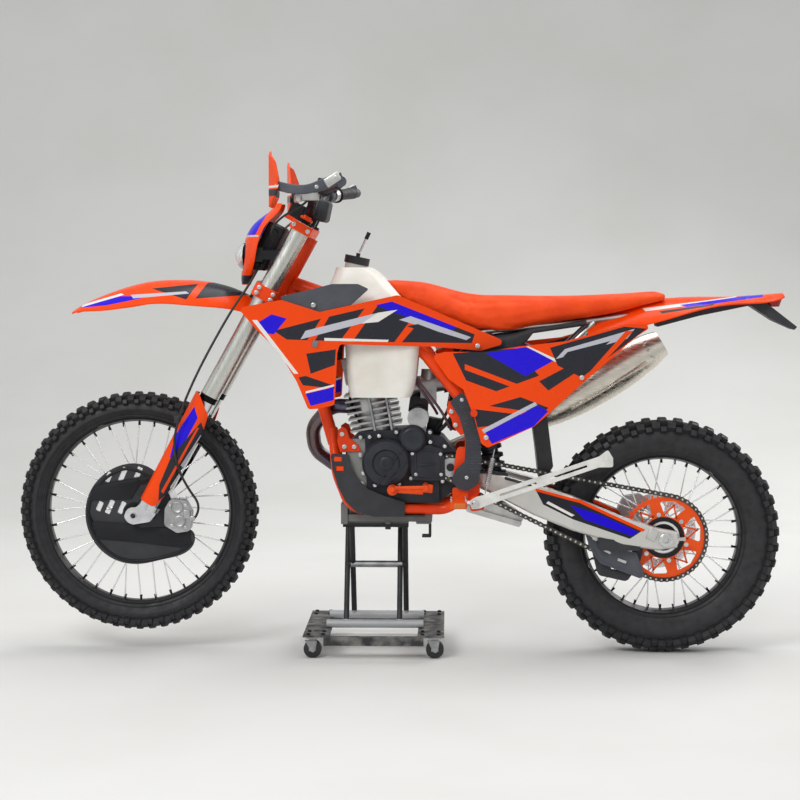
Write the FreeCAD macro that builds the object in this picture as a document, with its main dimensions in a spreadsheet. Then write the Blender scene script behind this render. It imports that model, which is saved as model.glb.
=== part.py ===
import FreeCAD, Part
import math
import os
from FreeCAD import Placement, Rotation, Vector

# Enduro dirt bike on a lifting work dolly.
# The bike faces -X, its left side is -Y, the floor is Z = 0.
# Lengths are millimetres, angles are degrees.

# Driving dimensions
SIZES = {
    # wheels and tyres
    "front_axle_x": -850.0, "front_axle_height": 403.0,
    "rear_axle_x": 661.0, "rear_axle_height": 339.0,
    "front_tyre_radius": 347.0, "front_tyre_width": 92.0,
    "rear_tyre_radius": 339.0, "rear_tyre_width": 112.0,
    "front_rim_radius": 270.0, "rear_rim_radius": 228.0,
    "rim_depth": 9.0, "front_rim_width": 52.0, "rear_rim_width": 66.0,
    "front_knob_height": 14.0, "rear_knob_height": 15.0,
    "front_knob_rows": 32, "rear_knob_rows": 30,
    "spoke_count": 36, "spoke_radius": 2.0,
    "front_axle_radius": 10.0, "rear_axle_radius": 12.5, "axle_bore_radius": 7.0,
    "bearing_clearance": 0.05,
    "front_disc_radius": 130.0, "rear_disc_radius": 110.0, "disc_thickness": 4.0,
    "front_disc_offset": 73.0, "rear_disc_offset": 78.0,
    # fork and steering
    "rake": 29.0, "axle_lead": 26.0, "steering_offset": 22.0,
    "fork_half_spacing": 105.0, "fork_tube_radius": 27.0, "fork_slider_radius": 23.5,
    "fork_tube_start": 401.0, "fork_tube_end": 965.0,
    "lower_clamp_height": 736.0, "lower_clamp_thickness": 38.0,
    "upper_clamp_height": 947.0, "upper_clamp_thickness": 26.0,
    "stem_radius": 16.0, "head_tube_radius": 29.0, "head_gap": 0.3,
    "fork_guard_radius": 41.0, "guard_wall": 3.0, "fork_guard_start": 52.3, "fork_guard_end": 398.0,
    "bar_radius": 14.3, "bar_end_radius": 11.0, "grip_radius": 16.5, "bar_half_width": 400.0,
    "bar_height": 1000.0, "hand_guard_radius": 8.0,
    # chain drive
    "chain_pitch": 15.875, "chain_links": 112, "rear_teeth": 48, "front_teeth": 13,
    "chain_offset": 73.0, "chain_slope": 18.15, "sprocket_thickness": 5.5,
    "roller_side": 9.0, "chain_plate_height": 14.0, "chain_plate_thickness": 4.0, "chain_gap": 7.0,
    # frame
    "frame_tube_radius": 18.0, "cradle_radius": 14.5, "cradle_half_spacing": 78.0,
    "pivot_x": 95.0, "pivot_height": 511.0, "pivot_plate_inner": 96.0, "pivot_plate_thickness": 20.0,
    "pivot_bolt_radius": 9.0, "spar_half_spacing": 112.0, "subframe_tube_radius": 9.0,
    # panels
    "panel_wall": 4.0, "shroud_front_half_width": 196.0, "panel_half_width": 172.0,
    "fender_wall": 4.0, "front_fender_half_width": 108.0, "rear_fender_half_width": 98.0,
    "seat_half_width": 128.0, "neck_tilt": 12.0,
    # swingarm
    "arm_inner_front": 32.0, "arm_width": 28.0, "arm_inner_rear": 98.0,
    # side stand
    "stand_leg_length": 406.0, "stand_leg_width": 30.0, "stand_offset": 158.0,
    "stand_tilt": 10.2, "stand_rise": 18.7,
    # work dolly
    "bracket_tip_x": 1038.0,
    "dolly_x": -165.0, "dolly_y": 40.0, "dolly_length": 400.0, "dolly_width": 400.0,
    "dolly_top": 68.0, "dolly_plate": 6.0, "caster_radius": 25.0, "caster_width": 20.0,
    "dolly_end_plate": 75.0, "lift_top": 398.7, "lift_platform": 20.0, "lift_tube_radius": 12.0,
    "lift_leg_radius": 8.0,
}

doc = FreeCAD.newDocument("enduro_bike")
sheet = doc.addObject("Spreadsheet::Sheet", "Sizes")
for row, (word, amount) in enumerate(SIZES.items(), 1):
    sheet.set("A%d" % row, word)
    sheet.set("B%d" % row, str(amount))
    sheet.setAlias("B%d" % row, word)
doc.recompute()

X_DIR = Vector(1, 0, 0)
Y_DIR = Vector(0, 1, 0)
Z_DIR = Vector(0, 0, 1)
nodes = []


# Building helpers

def size(word):
    return float(getattr(sheet, word))


def set_size(thing, path, amount):
    thing.setExpression(path, amount if isinstance(amount, str) else "%.6f" % amount)


def keep(thing, label):
    thing.Label = label
    nodes.append(thing)
    return thing


def rounded(points, radius=0.0, closed=True):
    """Straight runs through the points, with tangent arcs at the corners, as planar or 3-D edges."""
    points = [Vector(*point) if not isinstance(point, Vector) else point for point in points]
    count = len(points)
    entries = []
    for index, corner in enumerate(points):
        if not closed and index in (0, count - 1):
            entries.append((corner, corner, corner))
            continue
        before = points[index - 1] - corner
        after = points[(index + 1) % count] - corner
        half = before.getAngle(after) / 2.0
        reach = min(radius / max(math.tan(half), 1e-6), 0.45 * before.Length, 0.45 * after.Length)
        if radius <= 0 or abs(math.pi / 2 - half) < 0.01:
            entries.append((corner, corner, corner))
            continue
        start = corner + before.normalize() * reach
        stop = corner + after.normalize() * reach
        bisector = ((start + stop) * 0.5 - corner)
        middle = corner + bisector.normalize() * (reach / math.cos(half) - reach * math.tan(half))
        entries.append((start, middle, stop))
    edges = []
    for index in range(count if closed else count - 1):
        start, middle, stop = entries[index]
        if (stop - start).Length > 1e-6:
            edges.append(Part.Arc(start, middle, stop))
        following = entries[(index + 1) % count][0]
        if (following - stop).Length > 1e-6:
            edges.append(Part.LineSegment(stop, following))
    return edges


def circle(x, z, radius):
    return [Part.Circle(Vector(x, z, 0), Z_DIR, radius)]


def flat(points, radius=0.0):
    """A closed outline on a sketch, from (across, up) pairs."""
    return rounded([Vector(a, b, 0) for a, b in points], radius)


def curve(points):
    """A closed smooth outline through (across, up) pairs."""
    spline = Part.BSplineCurve()
    spline.interpolate([Vector(a, b, 0) for a, b in points], PeriodicFlag=True)
    return [spline]


def add_sketch(body, plane, loops, origin=Vector(0, 0, 0)):
    sketch = body.newObject("Sketcher::SketchObject", body.Name + "_sketch")
    origin_plane = [f for f in body.Origin.OriginFeatures if f.Role == plane + "_Plane"][0]
    sketch.AttachmentSupport = [(origin_plane, "")]
    sketch.MapMode = "FlatFace"
    sketch.AttachmentOffset = Placement(origin, Rotation())
    for loop in loops:
        sketch.addGeometry(loop, False)
    return sketch


def pad_body(name, loops, start, depth, plane="XZ"):
    """A sketch on one origin plane padded from start by depth. From XZ the pad runs towards -Y."""
    body = doc.addObject("PartDesign::Body", name)
    sketch = add_sketch(body, plane, loops)
    set_size(sketch, "AttachmentOffset.Base.z", start)
    pad = body.newObject("PartDesign::Pad", name + "_pad")
    pad.Profile = sketch
    set_size(pad, "Length", depth)
    body.Tip = pad
    return body


def turned_body(name, profile, centre):
    """A (radius, y) profile turned about the line through centre along Y."""
    body = doc.addObject("PartDesign::Body", name)
    sketch = add_sketch(body, "XY", [flat(profile)], centre)
    turn = body.newObject("PartDesign::Revolution", name + "_turn")
    turn.Profile = sketch
    turn.ReferenceAxis = (sketch, ["V_Axis"])
    turn.Angle = 360
    body.Tip = turn
    return body


def rod(name, radius, length, start, direction=Y_DIR):
    cylinder = doc.addObject("Part::Cylinder", name)
    set_size(cylinder, "Radius", radius)
    set_size(cylinder, "Height", length)
    cylinder.Placement = Placement(start, Rotation(Z_DIR, direction))
    return cylinder


def across(name, radius, x, z, start, stop):
    """A round bar along Y from start to stop."""
    return rod(name, radius, stop - start, Vector(x, start, z))


def block(name, low, high):
    box = doc.addObject("Part::Box", name)
    set_size(box, "Length", high[0] - low[0])
    set_size(box, "Width", high[1] - low[1])
    set_size(box, "Height", high[2] - low[2])
    box.Placement = Placement(Vector(*low), Rotation())
    return box


def joined(name, pieces):
    fusion = doc.addObject("Part::MultiFuse", name)
    fusion.Shapes = pieces
    return fusion


def cut(name, base, *tools):
    result = base
    for index, tool in enumerate(tools):
        step = doc.addObject("Part::Cut", name + ("" if index == len(tools) - 1 else "_step%d" % index))
        step.Base = result
        step.Tool = tool
        result = step
    return result


def common(name, first, second):
    result = doc.addObject("Part::MultiCommon", name)
    result.Shapes = [first, second]
    return result


def gathered(name, pieces):
    compound = doc.addObject("Part::Compound", name)
    compound.Links = pieces
    return compound


def mirrored(name, source):
    mirror = doc.addObject("Part::Mirroring", name)
    mirror.Source = source
    mirror.Normal = Y_DIR
    mirror.Base = Vector(0, 0, 0)
    return mirror


def wire_feature(name, edges):
    feature = doc.addObject("Part::Feature", name)
    feature.Shape = Part.Wire([edge.toShape() for edge in edges])
    return feature


def bent_tube(name, points, radius, bend):
    """A round tube along straight runs joined by tangent arcs."""
    path = wire_feature(name + "_path", rounded(points, bend, closed=False))
    start, following = Vector(*points[0]), Vector(*points[1])
    section = doc.addObject("Part::Circle", name + "_section")
    set_size(section, "Radius", radius)
    section.Placement = Placement(start, Rotation(Z_DIR, following - start))
    sweep = doc.addObject("Part::Sweep", name)
    sweep.Sections = [section]
    sweep.Spine = (path, ["Edge%d" % (i + 1) for i in range(len(path.Shape.Edges))])
    sweep.Solid = True
    sweep.Frenet = False
    return sweep


def loft(name, sections, ruled=False):
    """A solid through closed sections, each a list of edges."""
    wires = [wire_feature("%s_%d" % (name, i), edges) for i, edges in enumerate(sections)]
    body = doc.addObject("Part::Loft", name)
    body.Sections = wires
    body.Solid = True
    body.Ruled = ruled
    return body


def arch(left, crown, right, wall):
    """A closed bow: an outer arc through three points and an inner one a wall below it."""
    normal = (left - right).cross(crown - right).normalize()
    outward = (left - right).cross(normal).normalize()
    if outward.dot(crown - right) < 0:
        outward = outward * -1
    inner = [point - outward * wall for point in (left, crown, right)]
    return [Part.Arc(left, crown, right), Part.LineSegment(right, inner[2]),
            Part.Arc(inner[2], inner[1], inner[0]), Part.LineSegment(inner[0], left)]


# Wheel centres and the fork's own frame: local z runs up the fork, local x points rearwards
front_axle = Vector(size("front_axle_x"), 0, size("front_axle_height"))
rear_axle = Vector(size("rear_axle_x"), 0, size("rear_axle_height"))
fork_turn = Rotation(Y_DIR, size("rake"))
up_fork = fork_turn.multVec(Z_DIR)
behind_fork = fork_turn.multVec(X_DIR)
fork_place = Placement(front_axle + behind_fork * size("axle_lead"), fork_turn)
half_fork = size("fork_half_spacing")
steer_x = size("steering_offset")


def on_fork(thing):
    thing.Placement = fork_place.multiply(thing.Placement)
    return thing


def fork_point(rearwards, y, up):
    return fork_place.multVec(Vector(rearwards, y, up))


# Tyres: a closed skin of flat facets, knobs in three columns over alternate sectors

def tyre_shape(centre, rows, radius, half_width, bead_radius, bead_half, knob):
    base = radius - knob
    columns = [(-bead_half, bead_radius), (-half_width, base - 0.4 * half_width),
               (-0.50 * half_width, base - 0.06 * half_width), (-0.34 * half_width, base),
               (0.34 * half_width, base), (0.50 * half_width, base - 0.06 * half_width),
               (half_width, base - 0.4 * half_width), (bead_half, bead_radius)]
    shoulder_left, crown, shoulder_right = 1, 3, 5
    sectors = 2 * rows
    step = 2 * math.pi / sectors

    def point(column, sector, raised):
        y, r = columns[column]
        turn = -math.pi / 2 + sector * step
        r += knob if raised else 0
        return centre + Vector(r * math.cos(turn), y, r * math.sin(turn))

    def is_raised(strip, sector):
        if strip == crown:
            return sector % 2 == 0
        return strip in (shoulder_left, shoulder_right) and sector % 2 == 1

    def facet(corners):
        return Part.Face(Part.makePolygon(corners + corners[:1]))

    faces = []
    last = len(columns) - 1
    for sector in range(sectors):
        after = sector + 1
        for strip in range(last):
            high = is_raised(strip, sector)
            faces.append(facet([point(strip, sector, high), point(strip, after, high),
                                point(strip + 1, after, high), point(strip + 1, sector, high)]))
            if high != is_raised(strip, after):
                faces.append(facet([point(strip, after, False), point(strip, after, True),
                                    point(strip + 1, after, True), point(strip + 1, after, False)]))
            if high:
                for column in (strip, strip + 1):
                    faces.append(facet([point(column, sector, False), point(column, after, False),
                                        point(column, after, True), point(column, sector, True)]))
        faces.append(facet([point(0, sector, False), point(0, after, False),
                            point(last, after, False), point(last, sector, False)]))
    shell = Part.makeShell(faces)
    solid = Part.makeSolid(shell)
    if solid.Volume < 0:
        solid.reverse()
    return solid


def tyre(name, centre, rows, radius, width, rim_radius, rim_width, knob):
    sectors = 2 * rows
    bead_radius = (rim_radius + 0.2) / math.cos(math.pi / sectors)
    feature = doc.addObject("Part::Feature", name)
    feature.Shape = tyre_shape(centre, rows, radius, width / 2, bead_radius, rim_width / 2, knob)
    return keep(feature, name)


tyre("front_tyre", front_axle, int(size("front_knob_rows")), size("front_tyre_radius"),
     size("front_tyre_width"), size("front_rim_radius"), size("front_rim_width"), size("front_knob_height"))
tyre("rear_tyre", rear_axle, int(size("rear_knob_rows")), size("rear_tyre_radius"),
     size("rear_tyre_width"), size("rear_rim_radius"), size("rear_rim_width"), size("rear_knob_height"))


# Wire wheels: rim, hub, laced spokes and brake disc in one piece

def wire_wheel(name, centre, rim_radius, rim_width, hub_profile, flange, disc_y, disc_radius, bore):
    depth = size("rim_depth")
    half = rim_width / 2
    rim = turned_body(name + "_rim", [
        (rim_radius, -half), (rim_radius, half), (rim_radius - 3, half), (rim_radius - depth, half * 0.45),
        (rim_radius - depth, -half * 0.45), (rim_radius - 3, -half)], centre)
    hub = turned_body(name + "_hub", hub_profile, centre)
    pieces = [rim, hub]
    flange_radius, flange_half = flange
    count = int(size("spoke_count"))
    for index in range(count):
        side = 1 if index % 2 else -1
        lean = math.radians(48 if index % 4 < 2 else -48)
        turn = 2 * math.pi * index / count
        low = centre + Vector(flange_radius * math.cos(turn + lean), side * flange_half,
                              flange_radius * math.sin(turn + lean))
        reach = rim_radius - depth + 3
        high = centre + Vector(reach * math.cos(turn), side * half * 0.2, reach * math.sin(turn))
        spoke = rod("%s_spoke%d" % (name, index), "Sizes.spoke_radius", (high - low).Length, low, high - low)
        pieces.append(spoke)
    slots = [circle(centre.x, centre.z, disc_radius), circle(centre.x, centre.z, bore + 4)]
    for index in range(8):
        turn = 2 * math.pi * index / 8
        slots.append(circle(centre.x + disc_radius * 0.60 * math.cos(turn),
                            centre.z + disc_radius * 0.60 * math.sin(turn), disc_radius * 0.17))
    disc = pad_body(name + "_disc", slots, -disc_y - size("disc_thickness") / 2, "Sizes.disc_thickness")
    pieces.append(disc)
    return keep(joined(name, pieces), name)


front_bore = size("front_axle_radius") + size("bearing_clearance")
front_disc_y = -size("front_disc_offset")
wire_wheel("front_wheel", front_axle, size("front_rim_radius"), size("front_rim_width"), [
    (front_bore, front_disc_y - 2), (front_bore, 62), (24, 62), (24, 40), (38, 38), (38, 32), (22, 24),
    (20, 0), (22, -24), (38, -32), (38, -38), (30, -44), (30, front_disc_y - 2)],
    (34, 35), front_disc_y, size("front_disc_radius"), front_bore)

rear_bore = size("rear_axle_radius") + size("bearing_clearance")
rear_disc_y = size("rear_disc_offset")
sprocket_y = -size("chain_offset")
sprocket_half = size("sprocket_thickness") / 2
wire_wheel("rear_wheel", rear_axle, size("rear_rim_radius"), size("rear_rim_width"), [
    (rear_bore, sprocket_y + sprocket_half), (rear_bore, rear_disc_y + 3), (34, rear_disc_y + 3),
    (34, 46), (48, 42), (48, 34), (30, 26), (28, 0), (30, -26), (48, -34), (60, -44),
    (60, sprocket_y + sprocket_half)],
    (44, 37), rear_disc_y, size("rear_disc_radius"), rear_bore)


# Chain drive: the run is laid out link by link around both sprockets
pitch = size("chain_pitch")
rear_teeth = int(size("rear_teeth"))
front_teeth = int(size("front_teeth"))
rear_pitch_radius = pitch / (2 * math.sin(math.pi / rear_teeth))
front_pitch_radius = pitch / (2 * math.sin(math.pi / front_teeth))
rear_tooth_angle = 2 * math.pi / rear_teeth
front_tooth_angle = 2 * math.pi / front_teeth


def links_for(distance):
    tilt = math.asin((rear_pitch_radius - front_pitch_radius) / distance)
    run = distance * math.cos(tilt) / pitch
    return (math.pi + 2 * tilt) / rear_tooth_angle, run, (math.pi - 2 * tilt) / front_tooth_angle, tilt


near, far = rear_pitch_radius + front_pitch_radius, 2000.0
for _ in range(60):
    drive_distance = (near + far) / 2
    rear_wrap, run_links, front_wrap, chain_tilt = links_for(drive_distance)
    if rear_wrap + front_wrap + 2 * run_links > size("chain_links"):
        far = drive_distance
    else:
        near = drive_distance
drive_slope = math.radians(size("chain_slope"))
forward = Vector(-math.cos(drive_slope), 0, math.sin(drive_slope))
above = Vector(math.sin(drive_slope), 0, math.cos(drive_slope))
drive_shaft = rear_axle + forward * drive_distance


def polar(centre, radius, turn):
    """A point on a circle: turn 0 lies along above, and grows towards the front."""
    return centre + above * (radius * math.cos(turn)) + forward * (radius * math.sin(turn))


def chain_point(link, offset):
    """The place of one roller, moved outwards from the pitch line by offset."""
    top_turn = chain_tilt
    if link < run_links:
        share = link / run_links
        start = polar(rear_axle, rear_pitch_radius + offset, top_turn)
        stop = polar(drive_shaft, front_pitch_radius + offset, top_turn)
        return start + (stop - start) * share
    link -= run_links
    if link < front_wrap:
        return polar(drive_shaft, front_pitch_radius + offset, top_turn + link * front_tooth_angle)
    link -= front_wrap
    low_turn = math.pi - chain_tilt
    if link < run_links:
        share = link / run_links
        start = polar(drive_shaft, front_pitch_radius + offset, low_turn)
        stop = polar(rear_axle, rear_pitch_radius + offset, low_turn)
        return start + (stop - start) * share
    return polar(rear_axle, rear_pitch_radius + offset, low_turn + (link - run_links) * rear_tooth_angle)


def chain_shape():
    count = int(size("chain_links"))
    half_plate = size("chain_plate_height") / 2
    thickness = size("chain_plate_thickness")
    half_gap = size("chain_gap") / 2
    centre_y = -size("chain_offset")
    curved = []
    for link in range(count):
        on_run = link < run_links - 1 or run_links + front_wrap + 1 < link < 2 * run_links + front_wrap - 1
        if not on_run or link == 0:
            curved.append(link)
    solids = []
    for side in (-1, 1):
        loops = []
        for offset in (half_plate, -half_plate):
            corners = [chain_point(link, offset) for link in curved]
            loops.append(Part.Face(Part.makePolygon(corners + corners[:1])))
        band = loops[0].cut(loops[1]).Faces[0].extrude(Vector(0, thickness, 0))
        start = centre_y + half_gap if side > 0 else centre_y - half_gap - thickness
        band.translate(Vector(0, start, 0))
        solids.append(band)
    half_side = size("roller_side") / 2
    for link in range(count):
        middle = chain_point(link, 0)
        outward = (chain_point(link, 1) - middle).normalize()
        along = outward.cross(Y_DIR)
        corners = [middle + outward * (a * half_side) + along * (b * half_side)
                   for a, b in ((-1, -1), (1, -1), (1, 1), (-1, 1))]
        roller = Part.Face(Part.makePolygon(corners + corners[:1])).extrude(Vector(0, 2 * half_gap, 0))
        roller.translate(Vector(0, centre_y - half_gap, 0))
        solids.append(roller)
    return Part.makeCompound(solids)


chain = doc.addObject("Part::Feature", "chain")
chain.Shape = chain_shape()
keep(chain, "chain")


def sprocket_outline(centre, teeth, pitch_radius, first_turn):
    """Root circle and blunt teeth; the gap of each roller is centred on first_turn plus whole teeth."""
    tooth_angle = 2 * math.pi / teeth
    root = pitch_radius - size("roller_side") / 2 - 0.8
    tip = pitch_radius + 3.2
    gap_root = (size("roller_side") / 2 + 0.7) / root
    gap_tip = (size("roller_side") / 2 + 1.9) / tip
    corners = []
    for tooth in range(teeth):
        middle = first_turn + tooth * tooth_angle
        after = middle + tooth_angle
        corners += [(middle + gap_root, root), (middle + gap_tip, tip), (after - gap_tip, tip),
                    (after - gap_root, root)]
    points = [polar(centre, radius, turn) for turn, radius in corners]
    return flat([(point.x, point.z) for point in points])


def sprocket(name, centre, teeth, pitch_radius, first_turn, holes):
    loops = [sprocket_outline(centre, teeth, pitch_radius, first_turn)] + holes
    return pad_body(name, loops, "Sizes.chain_offset - Sizes.sprocket_thickness / 2",
                    "Sizes.sprocket_thickness")


window_holes = [circle(rear_axle.x, rear_axle.z, 46)]
for index in range(6):
    turn = math.radians(60 * index + 15)
    spread = math.radians(22)
    corners = [(62, turn - spread * 0.55), (104, turn - spread), (108, turn), (104, turn + spread),
               (62, turn + spread * 0.55)]
    window_holes.append(flat([(rear_axle.x + r * math.cos(a), rear_axle.z + r * math.sin(a))
                              for r, a in corners], 5))
keep(sprocket("rear_sprocket", rear_axle, rear_teeth, rear_pitch_radius, chain_tilt, window_holes),
     "rear_sprocket")
first_front = math.ceil(run_links) - run_links
keep(sprocket("front_sprocket", drive_shaft, front_teeth, front_pitch_radius,
              chain_tilt + first_front * front_tooth_angle, [circle(drive_shaft.x, drive_shaft.z, 11.05)]),
     "front_sprocket")

# Axles
keep(cut("front_axle", across("front_axle_bar", "Sizes.front_axle_radius", front_axle.x, front_axle.z,
                              -half_fork - 22, half_fork + 22),
         across("front_axle_hole", "Sizes.axle_bore_radius", front_axle.x, front_axle.z,
                -half_fork - 30, half_fork + 30)), "front_axle")
axle_end = size("arm_inner_rear") + size("arm_width") + 10
keep(cut("rear_axle", across("rear_axle_bar", "Sizes.rear_axle_radius", rear_axle.x, rear_axle.z,
                             -axle_end, axle_end),
         across("rear_axle_hole", "Sizes.axle_bore_radius", rear_axle.x, rear_axle.z,
                -axle_end - 5, axle_end + 5)), "rear_axle")

# Fork: outer tubes with caps and seals, sliders with axle lugs, guards
tube_start, tube_end = size("fork_tube_start"), size("fork_tube_end")
tube_length = tube_end - tube_start


def per_side(maker):
    return [maker(-1), maker(1)]


def fork_tube(side):
    name = "fork_tube_%s" % ("left" if side < 0 else "right")
    foot = Vector(0, side * half_fork, tube_start)
    outer = rod(name + "_outer", "Sizes.fork_tube_radius", tube_length, foot, Z_DIR)
    seal = rod(name + "_seal", "Sizes.fork_tube_radius - 1", 14, foot - Z_DIR * 14, Z_DIR)
    bore = rod(name + "_bore", "Sizes.fork_slider_radius + 0.05", tube_length - 30, foot - Z_DIR * 20, Z_DIR)
    cap = rod(name + "_cap", 17, 8, Vector(0, side * half_fork, tube_end), Z_DIR)
    return cut(name, joined(name + "_solid", [outer, seal, cap]), bore)


keep(on_fork(gathered("fork_tubes", per_side(fork_tube))), "fork_tubes")
lead = size("axle_lead")


def fork_leg(side):
    name = "fork_leg_%s" % ("left" if side < 0 else "right")
    y = side * half_fork
    slider = rod(name + "_slider", "Sizes.fork_slider_radius", tube_start + 150, Vector(0, y, 30), Z_DIR)
    lug = pad_body(name + "_lug", [flat([(-lead - 22, -18), (-lead + 10, -24), (24, 8), (30, 44), (-24, 44),
                                         (-30, 26), (-lead - 24, 10)], 12)], -y - 20, 40)
    collar = rod(name + "_collar", 33, 16, Vector(0, y, 36), Z_DIR)
    eye = across(name + "_eye", "Sizes.front_axle_radius + 14", -lead, 0, y - 20, y + 20)
    hole = across(name + "_hole", "Sizes.front_axle_radius", -lead, 0, y - 40, y + 40)
    face = y - side * size("fork_slider_radius")
    wheel_room = block(name + "_room", (-60, min(0, face), -40), (60, max(0, face), 70))
    return cut(name, joined(name + "_solid", [slider, lug, collar, eye]), wheel_room, hole)


keep(on_fork(gathered("fork_legs", per_side(fork_leg))), "fork_legs")

guard_start, guard_end = size("fork_guard_start"), size("fork_guard_end")


def fork_guard(side):
    """A half shell round the front and outside of a slider, with a raked top edge."""
    name = "fork_guard_%s" % ("left" if side < 0 else "right")
    y = side * half_fork
    wall = size("guard_wall")
    radius = size("fork_guard_radius")
    outer = doc.addObject("Part::Cone", name + "_outer")
    inner = doc.addObject("Part::Cone", name + "_inner")
    for cone, spare in ((outer, 0.0), (inner, wall)):
        set_size(cone, "Radius1", radius - 8 - spare)
        set_size(cone, "Radius2", radius - spare)
        set_size(cone, "Height", guard_end - guard_start)
        cone.Placement = Placement(Vector(0, y, guard_start), Rotation())
    outline = flat([(-50, guard_start), (16, guard_start), (30, guard_start + 60), (34, guard_end - 90),
                    (24, guard_end - 40), (-26, guard_end), (-50, guard_end)], 14)
    window = pad_body(name + "_side", [outline], -y - 50, 100)
    keep_side = block(name + "_reach", (-50, min(y - side * 22.5, y + side * 60), guard_start - 5),
                      (60, max(y - side * 22.5, y + side * 60), guard_end + 5))
    shell = cut(name + "_shell", outer, inner)
    inboard = block(name + "_inboard", (0, min(y, y - side * 60), guard_start - 5),
                    (60, max(y, y - side * 60), guard_end + 5))
    return cut(name, common(name + "_trimmed", common(name + "_cover", shell, window), keep_side), inboard)


keep(on_fork(gathered("fork_guards", per_side(fork_guard))), "fork_guards")

# Clamps: two bridges on the fork tubes and the stem between them
stem_radius = size("stem_radius")


def clamp_outline(nose, tail):
    y = half_fork
    reach = y + 36
    return flat([(nose, -y + 10), (-34, -reach), (34, -reach), (tail, -y + 30), (steer_x + 20, -16),
                 (steer_x + 20, 16), (tail, y - 30), (34, reach), (-34, reach), (nose, y - 10)], 16)


def clamp(name, height, thickness, nose, tail):
    loops = [clamp_outline(nose, tail)]
    for side in (-1, 1):
        loops.append([Part.Circle(Vector(0, side * half_fork, 0), Z_DIR, size("fork_tube_radius"))])
    return pad_body(name, loops, height - thickness / 2, thickness, "XY")


lower_height, lower_thick = size("lower_clamp_height"), size("lower_clamp_thickness")
upper_height, upper_thick = size("upper_clamp_height"), size("upper_clamp_thickness")
stem = rod("steering_stem", "Sizes.stem_radius", upper_height - lower_height + upper_thick / 2 + 8,
           Vector(steer_x, 0, lower_height), Z_DIR)
bar_x, bar_up = 2.0, size("bar_height")
perches = []
for side in (-1, 1):
    perch = pad_body("bar_perch%d" % side, [flat([(bar_x - 24, upper_height), (bar_x + 24, upper_height),
                                                  (bar_x + 22, bar_up + 22), (bar_x - 22, bar_up + 22)], 8)],
                     side * 45 - 16, 32)
    perches.append(perch)
bar_hole = across("bar_seat", "Sizes.bar_radius", bar_x, bar_up, -70, 70)
fender_lug = block("fender_lug", (-44, -24, lower_height - 38), (10, 24, lower_height - 10))
instrument = block("instrument", (-62, -44, upper_height + 2), (-24, 44, upper_height + 56))
clamps = cut("steering_clamps", joined("clamps_solid", [
    clamp("lower_clamp", lower_height, lower_thick, -40, 30),
    clamp("upper_clamp", upper_height, upper_thick, -28, 30), stem, fender_lug,
    instrument] + perches), bar_hole)
keep(on_fork(clamps), "steering_clamps")

# Handlebar in the bike's own frame: centre on the clamps, ends at the grips
bar_centre = fork_point(bar_x, 0, bar_up)
bar_half = size("bar_half_width")
bar_knee = Vector(bar_centre.x + 12, 0, bar_centre.z + 52)
bar_tip = Vector(-246, 0, 1334)


def bar_at(y):
    """The bar's centre line over the grips, where it sweeps back to its end."""
    share = (abs(y) - 165) / (bar_half - 165)
    return Vector(bar_knee.x + (bar_tip.x - bar_knee.x) * share, y,
                  bar_knee.z + (bar_tip.z - bar_knee.z) * share)


bar_middle = bent_tube("bar_middle", [bar_at(-200), bar_at(-165), Vector(bar_centre.x, -95, bar_centre.z),
                                      Vector(bar_centre.x, 95, bar_centre.z), bar_at(165), bar_at(200)],
                       "Sizes.bar_radius", 45)
bar_ends = [rod("bar_end%d" % side, "Sizes.bar_end_radius",
                (bar_at(side * bar_half) - bar_at(side * 190)).Length, bar_at(side * 190),
                bar_at(side * bar_half) - bar_at(side * 190)) for side in (-1, 1)]
keep(joined("handlebar", [bar_middle] + bar_ends), "handlebar")


def grip(side):
    name = "grip_%s" % ("left" if side < 0 else "right")
    start, stop = bar_at(side * 268), bar_at(side * (bar_half - 6))
    along = (stop - start)
    sleeve = rod(name + "_sleeve", "Sizes.grip_radius", along.Length, start, along)
    flange = rod(name + "_flange", "Sizes.grip_radius + 7", 6, start, along)
    bore = rod(name + "_bore", "Sizes.bar_end_radius", along.Length + 40, start - along.normalize() * 20,
               along)
    return cut(name, joined(name + "_solid", [sleeve, flange]), bore)


keep(gathered("grips", per_side(grip)), "grips")


def lever(side):
    """Perch clamp, reservoir and blade ahead of a grip."""
    name = "lever_%s" % ("left" if side < 0 else "right")
    start, stop = bar_at(side * 236), bar_at(side * 262)
    along = stop - start
    ring = rod(name + "_ring", 19, along.Length, start, along)
    arm = bent_tube(name + "_blade", [start + Vector(-22, 0, -10), start + Vector(-62, side * 18, -22),
                                      start + Vector(-58, side * 90, -26),
                                      start + Vector(-52, side * 142, -26)],
                    6, 18)
    body = block(name + "_body", (start.x - 52, min(start.y, start.y + side * 26), start.z - 30),
                 (start.x - 6, max(start.y, start.y + side * 26), start.z + 6))
    bore = rod(name + "_bore", "Sizes.bar_end_radius", along.Length + 40, start - along * 0.6, along)
    return cut(name, joined(name + "_solid", [ring, body, arm]), bore)


keep(gathered("levers", per_side(lever)), "levers")


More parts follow.
